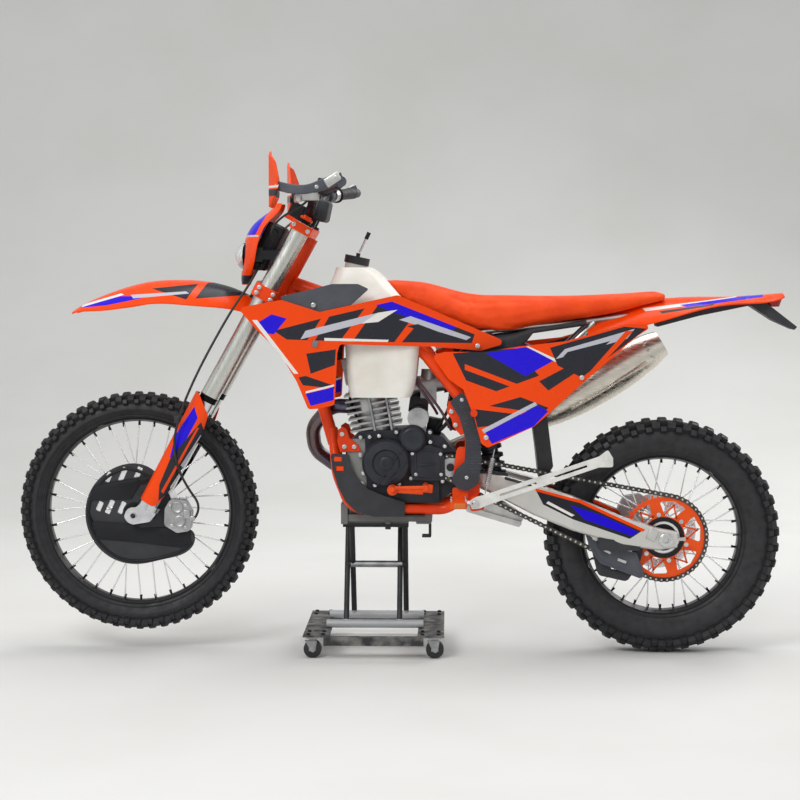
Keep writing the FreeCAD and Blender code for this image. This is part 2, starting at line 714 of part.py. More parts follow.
def hand_guard(side):
    """A flat bar from the bar's end round the front of the grip, with a curved shield on it."""
    name = "hand_guard_%s" % ("left" if side < 0 else "right")
    end = bar_at(side * bar_half)
    along = (end - bar_at(side * 190)).normalize()
    bow = bent_tube(name + "_bar", [end + along * 12, end + Vector(-62, side * 12, -20),
                                    end + Vector(-122, -side * 10, -18), Vector(-431, side * 318, 1334),
                                    Vector(-429, side * 240, 1334), bar_at(side * 214) + Vector(-13, 0, 0)],
                    "Sizes.hand_guard_radius", 30)
    clamp_ring = rod(name + "_ring", 20, 22, bar_at(side * 204), bar_at(side * 226) - bar_at(side * 204))
    bore = rod(name + "_bore", "Sizes.bar_end_radius", 400, bar_at(side * 150),
               bar_at(side * bar_half) - bar_at(side * 150))
    plug = rod(name + "_plug", 14, 24, end + along * 0.3, along)
    metal = joined(name + "_metal", [bow, clamp_ring])
    return joined(name + "_frame", [cut(name + "_bow", metal, bore), plug])


def shield(side):
    name = "shield_%s" % ("left" if side < 0 else "right")
    wall = 4.0
    plan = flat([(-424, side * 190), (-440, side * 270), (-440, side * 330), (-412, side * 388),
                 (-412 + wall, side * 388 - side * 2), (-440 + wall + 1, side * 330),
                 (-440 + wall, side * 270), (-424 + wall, side * 190)])
    band = pad_body(name + "_band", [plan], 1250, 190, "XY")
    face = flat([(side * 200, 1300), (side * 250, 1270), (side * 330, 1272), (side * 380, 1310),
                 (side * 384, 1352), (side * 350, 1404), (side * 296, 1424), (side * 232, 1396),
                 (side * 198, 1350)], 18)
    front = pad_body(name + "_face", [face], -480, 120, "YZ")
    return common(name, band, front)


guards = gathered("hand_guards", per_side(hand_guard))
keep(guards, "hand_guards")
keep(gathered("hand_shields", per_side(lambda side: cut("shield_cut%d" % side, shield(side), guards))),
     "hand_shields")

# Headlight mask: a bowed shell with a lens opening
mask_wall = 4.0


def mask_section(height, front, rear, half):
    return arch(Vector(rear, -half, height), Vector(front, 0, height), Vector(rear, half, height), mask_wall)


mask_levels = [(1290, -452, -432, 58), (1245, -498, -460, 88), (1205, -531, -486, 112),
               (1150, -545, -500, 122), (1100, -549, -514, 88), (1058, -549, -532, 44)]
mask_shell = loft("mask_shell", [mask_section(*level) for level in mask_levels])
lens_outline = flat([(-62, 1180), (-70, 1140), (-44, 1098), (44, 1098), (70, 1140), (62, 1180)], 18)
lens_hole = pad_body("mask_opening", [lens_outline], -620, 160, "YZ")
keep(cut("headlight_mask", mask_shell, lens_hole), "headlight_mask")
lamp = doc.addObject("Part::Ellipsoid", "lamp")
set_size(lamp, "Radius1", 47)
set_size(lamp, "Radius2", 60)
set_size(lamp, "Radius3", 70)
lamp.Placement = Placement(Vector(-497, 0, 1139), Rotation())
lamp_window = pad_body("lamp_window", [flat([(-61, 1179), (-69, 1140), (-43, 1099), (43, 1099), (69, 1140),
                                             (61, 1179)], 18)], -620, 130, "YZ")
lamp_box = block("lamp_box", (-512, -52, 1105), (-468, 52, 1175))
lamp_arms = [block("lamp_plate", (-506, -110, 1124), (-478, 110, 1164)),
             block("lamp_strap_left", (-480, -116, 1130), (-420, -96, 1156)),
             block("lamp_strap_right", (-480, 96, 1130), (-420, 116, 1156))]
lamp_raw = joined("lamp_raw", [common("lamp_lens", lamp, lamp_window), lamp_box] + lamp_arms)
keep(cut("headlight", lamp_raw, doc.getObject("headlight_mask"), doc.getObject("fork_tubes")), "headlight")

# Front fender: bowed sections along its length
fender_wall = size("fender_wall")
front_half = size("front_fender_half_width")


def bow_section(x, top, edge, half):
    return arch(Vector(x, -half, edge), Vector(x, 0, top), Vector(x, half, edge), fender_wall)


front_fender_stations = [(-1034, 984, 978, 0.40), (-985, 1012, 986, 0.62), (-920, 1038, 990, 0.78),
                         (-830, 1064, 1004, 0.95), (-740, 1072, 1008, 1.0), (-640, 1066, 1000, 0.98),
                         (-560, 1044, 990, 0.80), (-500, 1012, 968, 0.58), (-450, 972, 936, 0.50)]
front_fender_raw = loft("front_fender_raw", [bow_section(x, top, edge, half * front_half)
                                             for x, top, edge, half in front_fender_stations])
keep(cut("front_fender", front_fender_raw, doc.getObject("steering_clamps")), "front_fender")

# Front brake: cover plate, caliper and hose
cover_start = half_fork - size("fork_slider_radius") - 3.5
cover = pad_body("disc_cover_plate", [
    curve([(-770, 492), (-850, 548), (-930, 524), (-985, 456), (-994, 390), (-968, 318), (-906, 268),
           (-840, 258), (-770, 272), (-706, 292), (-682, 320), (-684, 350), (-720, 372), (-744, 430)]),
    circle(front_axle.x, front_axle.z, 34)], cover_start, 3.2)
caliper_outline = flat([(-766, 372), (-730, 350), (-690, 356), (-686, 410), (-704, 444), (-748, 447),
                        (-764, 420)], 14)
caliper_solid = pad_body("front_caliper_block", [caliper_outline], 56, 40)
disc_slot = rod("front_disc_room", "Sizes.front_disc_radius + 3", 14, front_axle - Y_DIR * 80, Y_DIR)
keep(cut("front_caliper", caliper_solid, disc_slot), "front_caliper")
keep(cut("disc_cover", cover, caliper_solid), "disc_cover")
hose_route = [(-484, -64, 1128), (-512, -106, 1066), (-558, -124, 1000), (-604, -136, 920),
              (-652, -148, 830), (-690, -153, 748), (-718, -153, 674), (-730, -152, 604), (-718, -142, 536),
              (-690, -120, 476), (-664, -102, 436), (-672, -90, 398), (-683, -87, 389)]
keep(cut("brake_hose", bent_tube("hose_tube", hose_route, 3.5, 60), doc.getObject("headlight")), "brake_hose")

# Main frame: head tube, spars, down tube, cradle and pivot plates
frame_radius = "Sizes.frame_tube_radius"
spar_half = size("spar_half_spacing")
cradle_half = size("cradle_half_spacing")
pivot = Vector(size("pivot_x"), 0, size("pivot_height"))
head_bottom = lower_height + lower_thick / 2 + size("head_gap")
head_length = upper_height - upper_thick / 2 - size("head_gap") - head_bottom
head = on_fork(rod("head_tube", "Sizes.head_tube_radius", head_length, Vector(steer_x, 0, head_bottom),
                   Z_DIR))
head_bore = on_fork(rod("head_bore", "Sizes.stem_radius + Sizes.bearing_clearance", head_length + 40,
                        Vector(steer_x, 0, head_bottom - 20), Z_DIR))


def spar(side):
    return bent_tube("spar%d" % side, [(-396, side * 14, 1062), (-240, side * 52, 1006),
                                       (-20, side * spar_half * 0.92, 866), (80, side * spar_half, 742),
                                       (112, side * spar_half, 640), (106, side * spar_half, 500)],
                     frame_radius, 90)


def cradle(side):
    y = side * cradle_half
    return bent_tube("cradle%d" % side, [(-288, side * 6, 640), (-272, y, 520), (-232, y, 418),
                                         (-100, y, 418), (40, y, 418), (112, y + side * 22, 470)],
                     "Sizes.cradle_radius", 60)


down_tube = bent_tube("down_tube", [(-412, 0, 1066), (-380, 0, 975), (-330, 0, 760), (-284, 0, 600)],
                      frame_radius, 200)
plate_inner = size("pivot_plate_inner")
plate_points = flat([(70, 600), (60, 520), (76, 470), (110, 440), (136, 470), (134, 600)], 16)
left_plate = pad_body("pivot_plate_left", [plate_points], "Sizes.pivot_plate_inner",
                      "Sizes.pivot_plate_thickness")
pivot_bolt = across("pivot_bolt", "Sizes.pivot_bolt_radius", pivot.x, pivot.z, -122, 122)
stand_pivot = Vector(124, -size("stand_offset"), 445)
stand_turn = Rotation(X_DIR, -size("stand_tilt"))
stand_axis = stand_turn.multVec(Y_DIR)
stand_mount = joined("side_stand_mount", [
    rod("stand_pin", 7.92, 60, stand_pivot + stand_axis * 46, stand_axis * -1),
    pad_body("stand_lug", [flat([(108, 420), (150, 428), (148, 460), (110, 464)], 8)], 108, 44)])
cross_tube = across("frame_cross_tube", 13, -14, 858, -spar_half * 0.9, spar_half * 0.9)
shock_cross = across("shock_cross_tube", 14, 96, 690, -spar_half, spar_half)
gusset_outline = flat([(-398, 1022), (-392, 1080), (-300, 1026), (-350, 820), (-364, 866)], 6)
gusset = pad_body("head_gusset", [gusset_outline], -8, 16)
panel_posts = [across("panel_post%d" % side, 10, 118, 700, min(side * 112, side * 168),
                      max(side * 112, side * 168)) for side in (-1, 1)]
frame_raw = joined("frame_raw", [head, down_tube, left_plate, mirrored("pivot_plate_right", left_plate),
                                 cross_tube, shock_cross, gusset, pivot_bolt, stand_mount]
                   + panel_posts + per_side(spar) + per_side(cradle))
keep(cut("main_frame", frame_raw, head_bore), "main_frame")

# Subframe rails carry the seat and the rear fender
rail_radius = "Sizes.subframe_tube_radius"


def rail(side):
    top = bent_tube("rail%d" % side, [(10, side * 86, 880), (160, side * 76, 930), (400, side * 70, 950),
                                      (640, side * 52, 982)], rail_radius, 200)
    brace = bent_tube("rail_brace%d" % side, [(118, side * 92, 660), (300, side * 80, 800),
                                              (460, side * 68, 952)], rail_radius, 200)
    return joined("rail_pair%d" % side, [top, brace])


rear_bridge = across("rail_bridge", rail_radius, 628, 980, -53, 53)
mid_bridge = across("rail_mid_bridge", rail_radius, 300, 800, -80, 80)
keep(cut("subframe", joined("subframe_raw", per_side(rail) + [rear_bridge, mid_bridge]),
         doc.getObject("main_frame")), "subframe")

# Engine: cases, round covers, finned cylinder, starter and carburettor
case_half = 76.0
case_outline = flat([(-232, 470), (-196, 440), (20, 436), (74, 480), (84, 560), (30, 626), (-70, 648),
                     (-206, 640), (-244, 600)], 22)
cases_raw = pad_body("cases_raw", [case_outline], -case_half, 2 * case_half)
case_room = joined("case_room", per_side(
    lambda side: bent_tube("cradle_room%d" % side, [(-288, side * 6, 640), (-272, side * cradle_half, 520),
                                                    (-232, side * cradle_half, 418),
                                                    (-100, side * cradle_half, 418)], 20, 60)))
shaft_boss = across("output_shaft", 11, drive_shaft.x, drive_shaft.z, -84, -60)
chain_room = rod("chain_room", 46, 30, Vector(drive_shaft.x, -61, drive_shaft.z), -Y_DIR)
lower_room = block("chain_lower_room", (20, -92, 430), (110, -61, 540))
pivot_room = across("pivot_room", 23, pivot.x, pivot.z, -90, 90)
keep(joined("engine_cases", [cut("cases_cut", cases_raw, case_room, chain_room, lower_room, pivot_room),
                             shaft_boss]), "engine_cases")

left_covers = [turned_body("stator_cover", [(0, -case_half), (69, -case_half), (69, -104), (62, -112),
                                            (40, -116), (36, -112), (0, -112)], Vector(-130, 0, 553)),
               turned_body("idler_cover", [(0, -case_half), (40, -case_half), (40, -98), (34, -104),
                                           (0, -106)], Vector(-55, 0, 622)),
               pad_body("sprocket_cover_block", [flat([(-66, 596), (-10, 604), (2, 602), (2, 502),
                                                       (-58, 504)], 6)], case_half, 16),
               pad_body("sprocket_cover_plate", [flat([(-10, 604), (28, 592), (36, 560), (38, 503),
                                                       (-10, 502)], 6)], case_half + 10, 6)]
right_covers = [turned_body("clutch_cover", [(0, case_half), (82, case_half), (82, 100), (70, 112),
                                             (0, 116)], Vector(-40, 0, 540)),
                turned_body("ignition_cover", [(0, case_half), (44, case_half), (44, 96), (36, 104),
                                               (0, 104)], Vector(-168, 0, 560))]
keep(gathered("engine_covers", [joined("left_covers", left_covers), joined("right_covers", right_covers)]),
     "engine_covers")

# Cylinder leans forward: its own frame has z up the bore
lean = Rotation(Y_DIR, -11)
bore_foot = Vector(-152, 0, 610)
barrel = rod("barrel", 50, 250, Vector(0, 0, 0), Z_DIR)
fins = []
for index in range(7):
    fins.append(block("fin%d" % index, (-74, -66, 40 + index * 17), (74, 66, 46 + index * 17)))
head_block = block("cylinder_head", (-62, -56, 176), (60, 56, 250))
cylinder_raw = joined("cylinder_raw", [barrel, head_block] + fins)
cylinder_raw.Placement = Placement(bore_foot, lean)
keep(cut("engine_cylinder", cylinder_raw, doc.getObject("main_frame"), doc.getObject("engine_cases")),
     "engine_cylinder")
keep(cut("starter_motor", joined("starter_raw", [across("starter_body", 30, -40, 680, -92, 10),
                                                  block("starter_foot", (-62, -70, 630), (-18, -10, 670))]),
         doc.getObject("engine_cases"), doc.getObject("engine_cylinder"),
         doc.getObject("engine_covers")), "starter_motor")

# Intake and exhaust
frame_node = doc.getObject("main_frame")
cylinder_node = doc.getObject("engine_cylinder")
keep(cut("carburettor", joined("carburettor_raw", [
    rod("carburettor_throat", 27, 110, Vector(-78, 0, 762), Vector(1, 0, 0.16)),
    block("carburettor_bowl", (-34, -26, 716), (12, 26, 766)),
    rod("carburettor_top", 24, 44, Vector(-12, 0, 770), Vector(0.1, 0, 1))]), cylinder_node), "carburettor")
airbox_raw = loft("airbox_raw", [flat3 for flat3 in [
    rounded([Vector(x, -half, low), Vector(x, half, low), Vector(x, half, high), Vector(x, -half, high)],
            min(18, 0.4 * (high - low)))
    for x, half, low, high in ((34, 40, 748, 822), (120, 88, 770, 908), (230, 104, 850, 922),
                               (285, 104, 922, 936), (436, 94, 944, 960))]], True)
keep(cut("airbox", airbox_raw, doc.getObject("subframe"), frame_node, doc.getObject("carburettor")),
     "airbox")

header_route = [(-196, 18, 706), (-296, 40, 706), (-352, 66, 640), (-346, 92, 572), (-280, 118, 520),
                (-150, 138, 520), (20, 152, 560), (180, 161, 626), (300, 156, 662)]
keep(cut("exhaust_header", bent_tube("header_tube", header_route, 21, 70), cylinder_node, frame_node,
         doc.getObject("engine_covers")), "exhaust_header")
muffler_start, muffler_stop = Vector(300, 156, 656), Vector(681, 156, 890)
muffler_axis = muffler_stop - muffler_start
muffler_turn = Rotation(Z_DIR, muffler_axis)


def muffler_section(along, half_deep, half_wide):
    ellipse = Part.Ellipse(Vector(0, 0, along), half_deep, half_wide)
    return [ellipse]


muffler_can = loft("muffler_can", [muffler_section(a, d, w) for a, d, w in
                                   ((0, 30, 28), (60, 48, 40), (120, 58, 45), (330, 60, 45), (356, 56, 42))])
muffler_cap = loft("muffler_cap", [muffler_section(a, d, w) for a, d, w in
                                   ((356, 56, 42), (400, 50, 36), (440, 38, 26))])
muffler_mouth = rod("muffler_mouth", 15, 60, Vector(0, 0, 396), Z_DIR)
muffler_raw = cut("muffler_raw", joined("muffler_solid", [muffler_can, muffler_cap]), muffler_mouth)
muffler_raw.Placement = Placement(muffler_start, muffler_turn)
keep(cut("muffler", muffler_raw, doc.getObject("exhaust_header"), doc.getObject("subframe")), "muffler")

# Fuel tank saddles the frame: stacked rounded sections with a channel below


def plan_section(height, front, rear, half, corner=30):
    return rounded([Vector(front, -half, height), Vector(rear, -half, height), Vector(rear, half, height),
                    Vector(front, half, height)], corner)


tank_levels = [(742, -232, -60, 142), (800, -240, -44, 147), (888, -246, -36, 149), (960, -262, -40, 146),
               (1020, -290, -84, 128), (1060, -290, -120, 104), (1108, -276, -176, 62)]
tank_block = loft("tank_block", [plan_section(*level) for level in tank_levels])
channel_outline = flat([(-90, 700), (90, 700), (86, 960), (44, 1040), (-44, 1040), (-86, 960)], 24)
channel = pad_body("tank_channel", [channel_outline], -420, 520, "YZ")
neck_foot = Vector(-226, 0, 1086)
up_neck = Rotation(Y_DIR, size("neck_tilt")).multVec(Z_DIR)
tank_neck = rod("tank_neck", 32, 32, neck_foot, up_neck)
keep(cut("fuel_tank", joined("tank_raw", [tank_block, tank_neck]), channel, frame_node), "fuel_tank")
keep(joined("tank_cap", [rod("cap_disc", 36, 22, neck_foot + up_neck * 32, up_neck),
                         rod("cap_spigot", 6, 12, neck_foot + up_neck * 52, up_neck)]), "tank_cap")

# Radiators stand behind the fork on both sides of the frame


def radiator(side):
    core = block("radiator_core%d" % side, (-16, min(side * 66, side * 168), 0),
                 (16, max(side * 66, side * 168), 190))
    tank_top = block("radiator_tank%d" % side, (-20, min(side * 62, side * 172), 190),
                     (30, max(side * 62, side * 172), 214))
    tab = block("radiator_tab%d" % side, (-8, min(side * 160, side * 192), 100),
                (8, max(side * 160, side * 192), 118))
    both = joined("radiator%d" % side, [core, tank_top, tab])
    both.Placement = Placement(Vector(-352, 0, 790), Rotation(Y_DIR, 14))
    return both


# Body panels: side outlines cut from slabs that bow in plan


def bowed_panel(name, outline, plan, low, high):
    """The side outline, cut from an upright wall whose plan is a row of (x, half width) points."""
    wall = size("panel_wall")
    outer = [Vector(x, -half, low) for x, half in plan]
    inner = [Vector(x, -half + wall, low) for x, half in reversed(plan)]
    bow, back = Part.BSplineCurve(), Part.BSplineCurve()
    bow.interpolate(outer)
    back.interpolate(inner)
    ends = [Part.LineSegment(outer[-1], inner[0]), Part.LineSegment(inner[-1], outer[0])]
    slab = doc.addObject("Part::Extrusion", name + "_slab")
    slab.Base = wire_feature(name + "_plan", [bow, ends[0], back, ends[1]])
    slab.Solid = True
    slab.Dir = Z_DIR
    slab.LengthFwd = high - low
    side = pad_body(name + "_outline", [outline], 20, 260)
    return common(name, slab, side)


shroud_front = size("shroud_front_half_width")
panel_half = size("panel_half_width")
shroud_outline = flat([(-540, 996), (-419, 1018), (-313, 984), (-96, 1031), (216, 896), (137, 874), (3, 886),
                       (-257, 894), (-264, 870), (-272, 724), (-316, 714), (-345, 712), (-377, 790),
                       (-426, 873), (-491, 938)], 10)
shroud_plan = [(-560, shroud_front + 8), (-480, shroud_front + 4), (-360, shroud_front - 4),
               (-230, panel_half + 8), (-60, panel_half - 14), (100, panel_half - 44), (240, panel_half - 58)]
left_shroud = bowed_panel("left_shroud", shroud_outline, shroud_plan, 700, 1040)
keep(gathered("shrouds", [left_shroud, mirrored("right_shroud", left_shroud)]), "shrouds")

pad_outline = flat([(-424, 1027), (-340, 1046), (-279, 1062), (-207, 1062), (-176, 1048), (-240, 990),
                    (-313, 966), (-400, 1000)], 4)
pad_inset = size("panel_wall") + 0.3
pad_plan = [(x, half - pad_inset) for x, half in shroud_plan[1:5]]
left_pad = bowed_panel("left_tank_pad", pad_outline, pad_plan, 980, 1070)
keep(gathered("tank_pads", [left_pad, mirrored("right_tank_pad", left_pad)]), "tank_pads")

panel_outline = flat([(0, 862), (36, 872), (149, 872), (247, 888), (376, 902), (465, 928), (551, 950),
                      (627, 946), (577, 915), (418, 780), (328, 699), (286, 663), (157, 603), (139, 614),
                      (118, 690), (88, 766), (46, 796)], 10)
panel_plan = [(-40, panel_half - 18), (120, panel_half - 12), (280, panel_half - 10), (420, panel_half - 26),
              (640, panel_half - 72)]
whole_panel = bowed_panel("whole_side_panel", panel_outline, panel_plan, 590, 960)
left_panel = cut("left_side_panel", whole_panel, frame_node)
pipe_room = pad_body("pipe_room", [flat([(40, 560), (700, 560), (700, 935), (640, 928), (330, 752),
                                         (180, 684), (100, 668)], 20)], -300, 180)
right_panel = cut("right_side_panel", mirrored("right_panel_raw", whole_panel), pipe_room, frame_node)
keep(gathered("side_panels", [left_panel, right_panel]), "side_panels")

# Seat: sections along its length, each a rounded trapezium


def seat_section(x, low, high, low_half, high_half):
    return rounded([Vector(x, -low_half, low), Vector(x, low_half, low), Vector(x, high_half, high),
                    Vector(x, -high_half, high)], min(22, 0.5 * (high - low)))


seat_stations = [(-140, 1066, 1080, 28, 20), (-96, 1032, 1070, 52, 40), (-20, 986, 1060, 92, 60),
                 (80, 946, 1034, 112, 78), (190, 930, 1024, 116, 92), (320, 952, 1022, 122, 98),
                 (450, 972, 1024, 112, 96), (560, 994, 1030, 92, 80), (664, 1018, 1038, 64, 54)]
seat_raw = loft("seat_raw", [seat_section(*station) for station in seat_stations])
keep(cut("seat", seat_raw, doc.getObject("fuel_tank"), doc.getObject("subframe"), doc.getObject("airbox"),
         frame_node), "seat")

# Rear fender, tail lamp and number plate bracket
rear_half = size("rear_fender_half_width")
rear_fender_stations = [(440, 962, 914, 0.98), (520, 986, 934, 1.0), (640, 1016, 958, 1.0),
                        (760, 1024, 992, 0.94), (880, 1026, 1008, 0.78), (1000, 1035, 1026, 0.50)]
rear_raw = loft("rear_fender_raw", [bow_section(x, top, edge, half * rear_half)
                                    for x, top, edge, half in rear_fender_stations])
keep(cut("rear_fender", rear_raw, doc.getObject("seat"), doc.getObject("subframe"), doc.getObject("airbox"),
         left_panel, right_panel), "rear_fender")
tail_raw = loft("tail_light_raw", [plan_section(z, front, rear, half, 8)
                                   for z, front, rear, half in ((996, 960, 990, 22), (1024, 950, 1000, 24))])
keep(cut("tail_light", tail_raw, doc.getObject("rear_fender")), "tail_light")
bracket_tip = size("bracket_tip_x")
bracket_side = flat([(901, 1018), (948, 1023), (954, 1004), (bracket_tip, 939), (bracket_tip - 8, 930),
                     (972, 956), (901, 1002)], 3)
strip_side = flat([(638, 952), (760, 988), (906, 1014), (906, 1000), (760, 970), (640, 938)], 3)
bracket_raw = joined("bracket_raw", [pad_body("bracket_blade", [bracket_side], -40, 80),
                                     pad_body("bracket_strip", [strip_side], -34, 68)])
keep(cut("plate_bracket", bracket_raw, doc.getObject("tail_light"), doc.getObject("rear_fender")),
     "plate_bracket")

# Swingarm: two tapered arms, pivot tube, bridge and axle lugs
arm_width = size("arm_width")
inner_front, inner_rear = size("arm_inner_front"), size("arm_inner_rear")


def arm_section(x, inner, low, high):
    return rounded([Vector(x, inner, low), Vector(x, inner + arm_width, low),
                    Vector(x, inner + arm_width, high), Vector(x, inner, high)], 9)


def arm_sections(side):
    stations = [(pivot.x, inner_front, 493, 529), (180, inner_front + 12, 458, 526),
                (290, inner_front + 38, 404, 496), (400, inner_rear - 6, 362, 462),
                (540, inner_rear, 322, 404), (640, inner_rear, 308, 372), (694, inner_rear, 316, 362)]
    return [arm_section(x, inner if side > 0 else -inner - arm_width, low, high)
            for x, inner, low, high in stations]


arms = [loft("arm%d" % side, arm_sections(side), True) for side in (-1, 1)]
pivot_tube = across("arm_pivot_tube", 20, pivot.x, pivot.z, -inner_front - arm_width, inner_front + arm_width)
arm_bridge = pad_body("arm_bridge", [flat([(240, 446), (300, 424), (304, 470), (244, 494)], 12)],
                      -inner_front - 40, 2 * inner_front + 80)
arm_pivot_hole = across("arm_pivot_hole", "Sizes.pivot_bolt_radius", pivot.x, pivot.z, -150, 150)
arm_axle_hole = across("arm_axle_hole", "Sizes.rear_axle_radius", rear_axle.x, rear_axle.z, -150, 150)
keep(cut("swingarm", joined("swingarm_raw", arms + [pivot_tube, arm_bridge]), arm_pivot_hole, arm_axle_hole),
     "swingarm")

# Chain guide: two cheeks under the arm with a bridge above the chain
chain_y = size("chain_offset")
guide_outline = flat([(452, 322), (474, 232), (556, 214), (590, 262), (606, 318), (560, 312)], 16)
guide_slots = [flat([(500, 296), (512, 246), (536, 242), (526, 296)], 8)]
guide_out = pad_body("guide_outer", [guide_outline] + guide_slots, chain_y + 12, 5)
guide_in = pad_body("guide_inner", [guide_outline] + guide_slots, chain_y - 15, 4)
guide_roof = pad_body("guide_roof", [flat([(490, 320), (496, 302), (532, 302), (534, 316)], 5)],
                      chain_y - 13, 28)
guide_foot = pad_body("guide_foot", [flat([(470, 345), (472, 308), (590, 308), (590, 330)], 6)],
                      chain_y + 12, 40)
chain_node = doc.getObject("chain")
keep(cut("chain_guide", joined("guide_raw", [guide_out, guide_in, guide_roof, guide_foot]),
         doc.getObject("swingarm")), "chain_guide")

# Rear suspension: shock with its spring, rocker and pull rod
shock_top, shock_foot = Vector(118, 0, 838), Vector(196, 0, 420)
shock_axis = shock_top - shock_foot
shock_length = shock_axis.Length
coils = [(0, 40), (22, 40)]
for index in range(9):
    start = 60 + index * 26
    coils += [(24, start), (36, start + 4), (36, start + 14), (24, start + 18)]
coils += [(28, 300), (28, shock_length - 20), (0, shock_length - 20)]
shock_coils = turned_body("shock_coils", coils, Vector(0, 0, 0))
shock_rod = rod("shock_rod", 9, shock_length, Vector(0, 0, 0), Y_DIR)
shock_raw = joined("shock_raw", [shock_coils, shock_rod])
shock_raw.Placement = Placement(shock_foot, Rotation(Y_DIR, shock_axis))
keep(cut("shock_absorber", shock_raw, frame_node, doc.getObject("airbox"), doc.getObject("carburettor")),
     "shock_absorber")
rocker_outline = flat([(150, 408), (196, 398), (256, 372), (266, 392), (206, 432), (160, 428)], 8)
rocker = pad_body("rocker", [rocker_outline], -26, 52)
pull_rod = pad_body("pull_rod", [flat([(92, 424), (100, 406), (250, 362), (262, 376)], 6)], 26, 12)
keep(cut("linkage", gathered("linkage_raw", [rocker, pull_rod, mirrored("pull_rod_right", pull_rod)]),
         doc.getObject("shock_absorber"), doc.getObject("swingarm"), frame_node), "linkage")

# Guards on the frame
skid_outline = flat([(-263, 482), (-243, 443), (-212, 412), (-165, 399), (-20, 399), (-20, 403), (-166, 403),
                     (-209, 417), (-239, 447), (-258, 484)], 0)
skid_side = flat([(-289, 580), (-283.5, 534.5), (-267, 483.5), (-247, 443), (-215, 411), (-165, 399),
                  (-77, 399), (-77, 441), (-134, 458), (-182, 478), (-210, 506), (-230, 540), (-235, 577)], 8)
skid_slots = [flat([(-279, 556), (-256, 556), (-256, 571), (-279, 571)], 5),
              flat([(-274, 529), (-250, 529), (-250, 544), (-274, 544)], 5)]
skid_cheek = pad_body("skid_cheek", [skid_side] + skid_slots, cradle_half + 17, 4)
skid_floor = pad_body("skid_floor", [skid_outline], -cradle_half - 17, 2 * cradle_half + 34)
keep(cut("skid_plate", joined("skid_raw", [skid_floor, skid_cheek, mirrored("skid_cheek_right", skid_cheek)]),
         frame_node, doc.getObject("engine_cases"), doc.getObject("exhaust_header")), "skid_plate")
guard_outline = flat([(50, 730), (84, 758), (112, 721), (135, 651), (140, 567), (132, 499), (101, 477),
                      (70, 485), (56, 513), (67, 538), (92, 561), (95, 623), (78, 685)], 8)
guard_start_y = max(spar_half + size("frame_tube_radius"), plate_inner + size("pivot_plate_thickness"))
left_guard = pad_body("left_frame_guard", [guard_outline], guard_start_y, 4)
keep(cut("frame_guards", gathered("guards_raw", [left_guard, mirrored("right_frame_guard", left_guard)]),
         frame_node), "frame_guards")

# Foot controls
peg_mount = pad_body("peg_mount", [flat([(58, 486), (58, 442), (100, 442), (104, 486)], 6)], 116.3, 8)
peg = joined("peg_left", [block("peg_tread", (52, -232, 438), (98, -150, 458)),
                          block("peg_arm", (64, -152, 440), (90, -122, 462)), peg_mount])
keep(gathered("foot_pegs", [peg, mirrored("peg_right", peg)]), "foot_pegs")
shift_pivot = Vector(-18, 0, 488)
shift_lever = joined("shift_lever", [across("shift_shaft", 8, shift_pivot.x, shift_pivot.z, -156, -case_half),
                            rod("shift_arm", 6, 100, Vector(-16, -146, 488), Vector(-1, 0, -0.02)),
                            across("shift_toe", 8, -112, 486, -184, -134)])
brake_pedal = joined("brake_pedal", [bent_tube("pedal_arm", [(84, 140, 430), (20, 140, 424), (-60, 132, 452),
                                                    (-120, 136, 470)], 7, 40),
                            block("pedal_pad", (-134, 124, 466), (-100, 172, 480)),
                            across("pedal_pivot", 8, 84, 430, 86, 146)])
keep(gathered("foot_levers", [shift_lever, cut("brake_pedal_seated", brake_pedal, frame_node)]),
     "foot_levers")
rear_caliper_outline = flat([(560, 372), (612, 388), (634, 424), (608, 448), (560, 440), (540, 404)], 12)
rear_slot = rod("rear_disc_room", "Sizes.rear_disc_radius + 3", 12,
                rear_axle + Y_DIR * (size("rear_disc_offset") - 6), Y_DIR)
keep(cut("rear_caliper", pad_body("rear_caliper_raw", [rear_caliper_outline], -97.5, 36), rear_slot,
         doc.getObject("swingarm")), "rear_caliper")
mud_outline = flat([(262, 830), (300, 830), (330, 668), (346, 540), (322, 500), (306, 500), (296, 590),
                    (286, 664)], 8)
keep(cut("mud_flap", pad_body("mud_flap_raw", [mud_outline], -60, 120), doc.getObject("subframe"),
         doc.getObject("swingarm"), doc.getObject("shock_absorber"), doc.getObject("airbox")), "mud_flap")

radiators_raw = gathered("radiators_raw", per_side(radiator))
keep(cut("radiators", radiators_raw, frame_node, doc.getObject("exhaust_header"), doc.getObject("fuel_tank"),
         doc.getObject("shrouds")), "radiators")

# Side stand, folded up along the left side
leg_turn = size("stand_rise")
stand_half = size("stand_leg_width") / 2
leg_length = size("stand_leg_length")
leg_outline = flat([(-16, -12), (6, -17), (34, -stand_half), (leg_length - 46, -stand_half + 1),
                    (leg_length - 8, -26), (leg_length, -2), (leg_length - 6, 25),
                    (leg_length - 36, stand_half), (34, stand_half), (6, 17), (-16, 12)], 5)
leg_slots = [flat([(70, -3), (180, -3), (180, 3), (70, 3)], 2.5),
             flat([(220, -3), (330, -3), (330, 3), (220, 3)], 2.5)]
side_leg = pad_body("side_leg", [leg_outline] + leg_slots + [circle(0, 0, 8)], 0, 12)
side_leg.Placement = Placement(stand_pivot, stand_turn.multiply(Rotation(Y_DIR, -leg_turn)))
keep(side_leg, "side_stand")

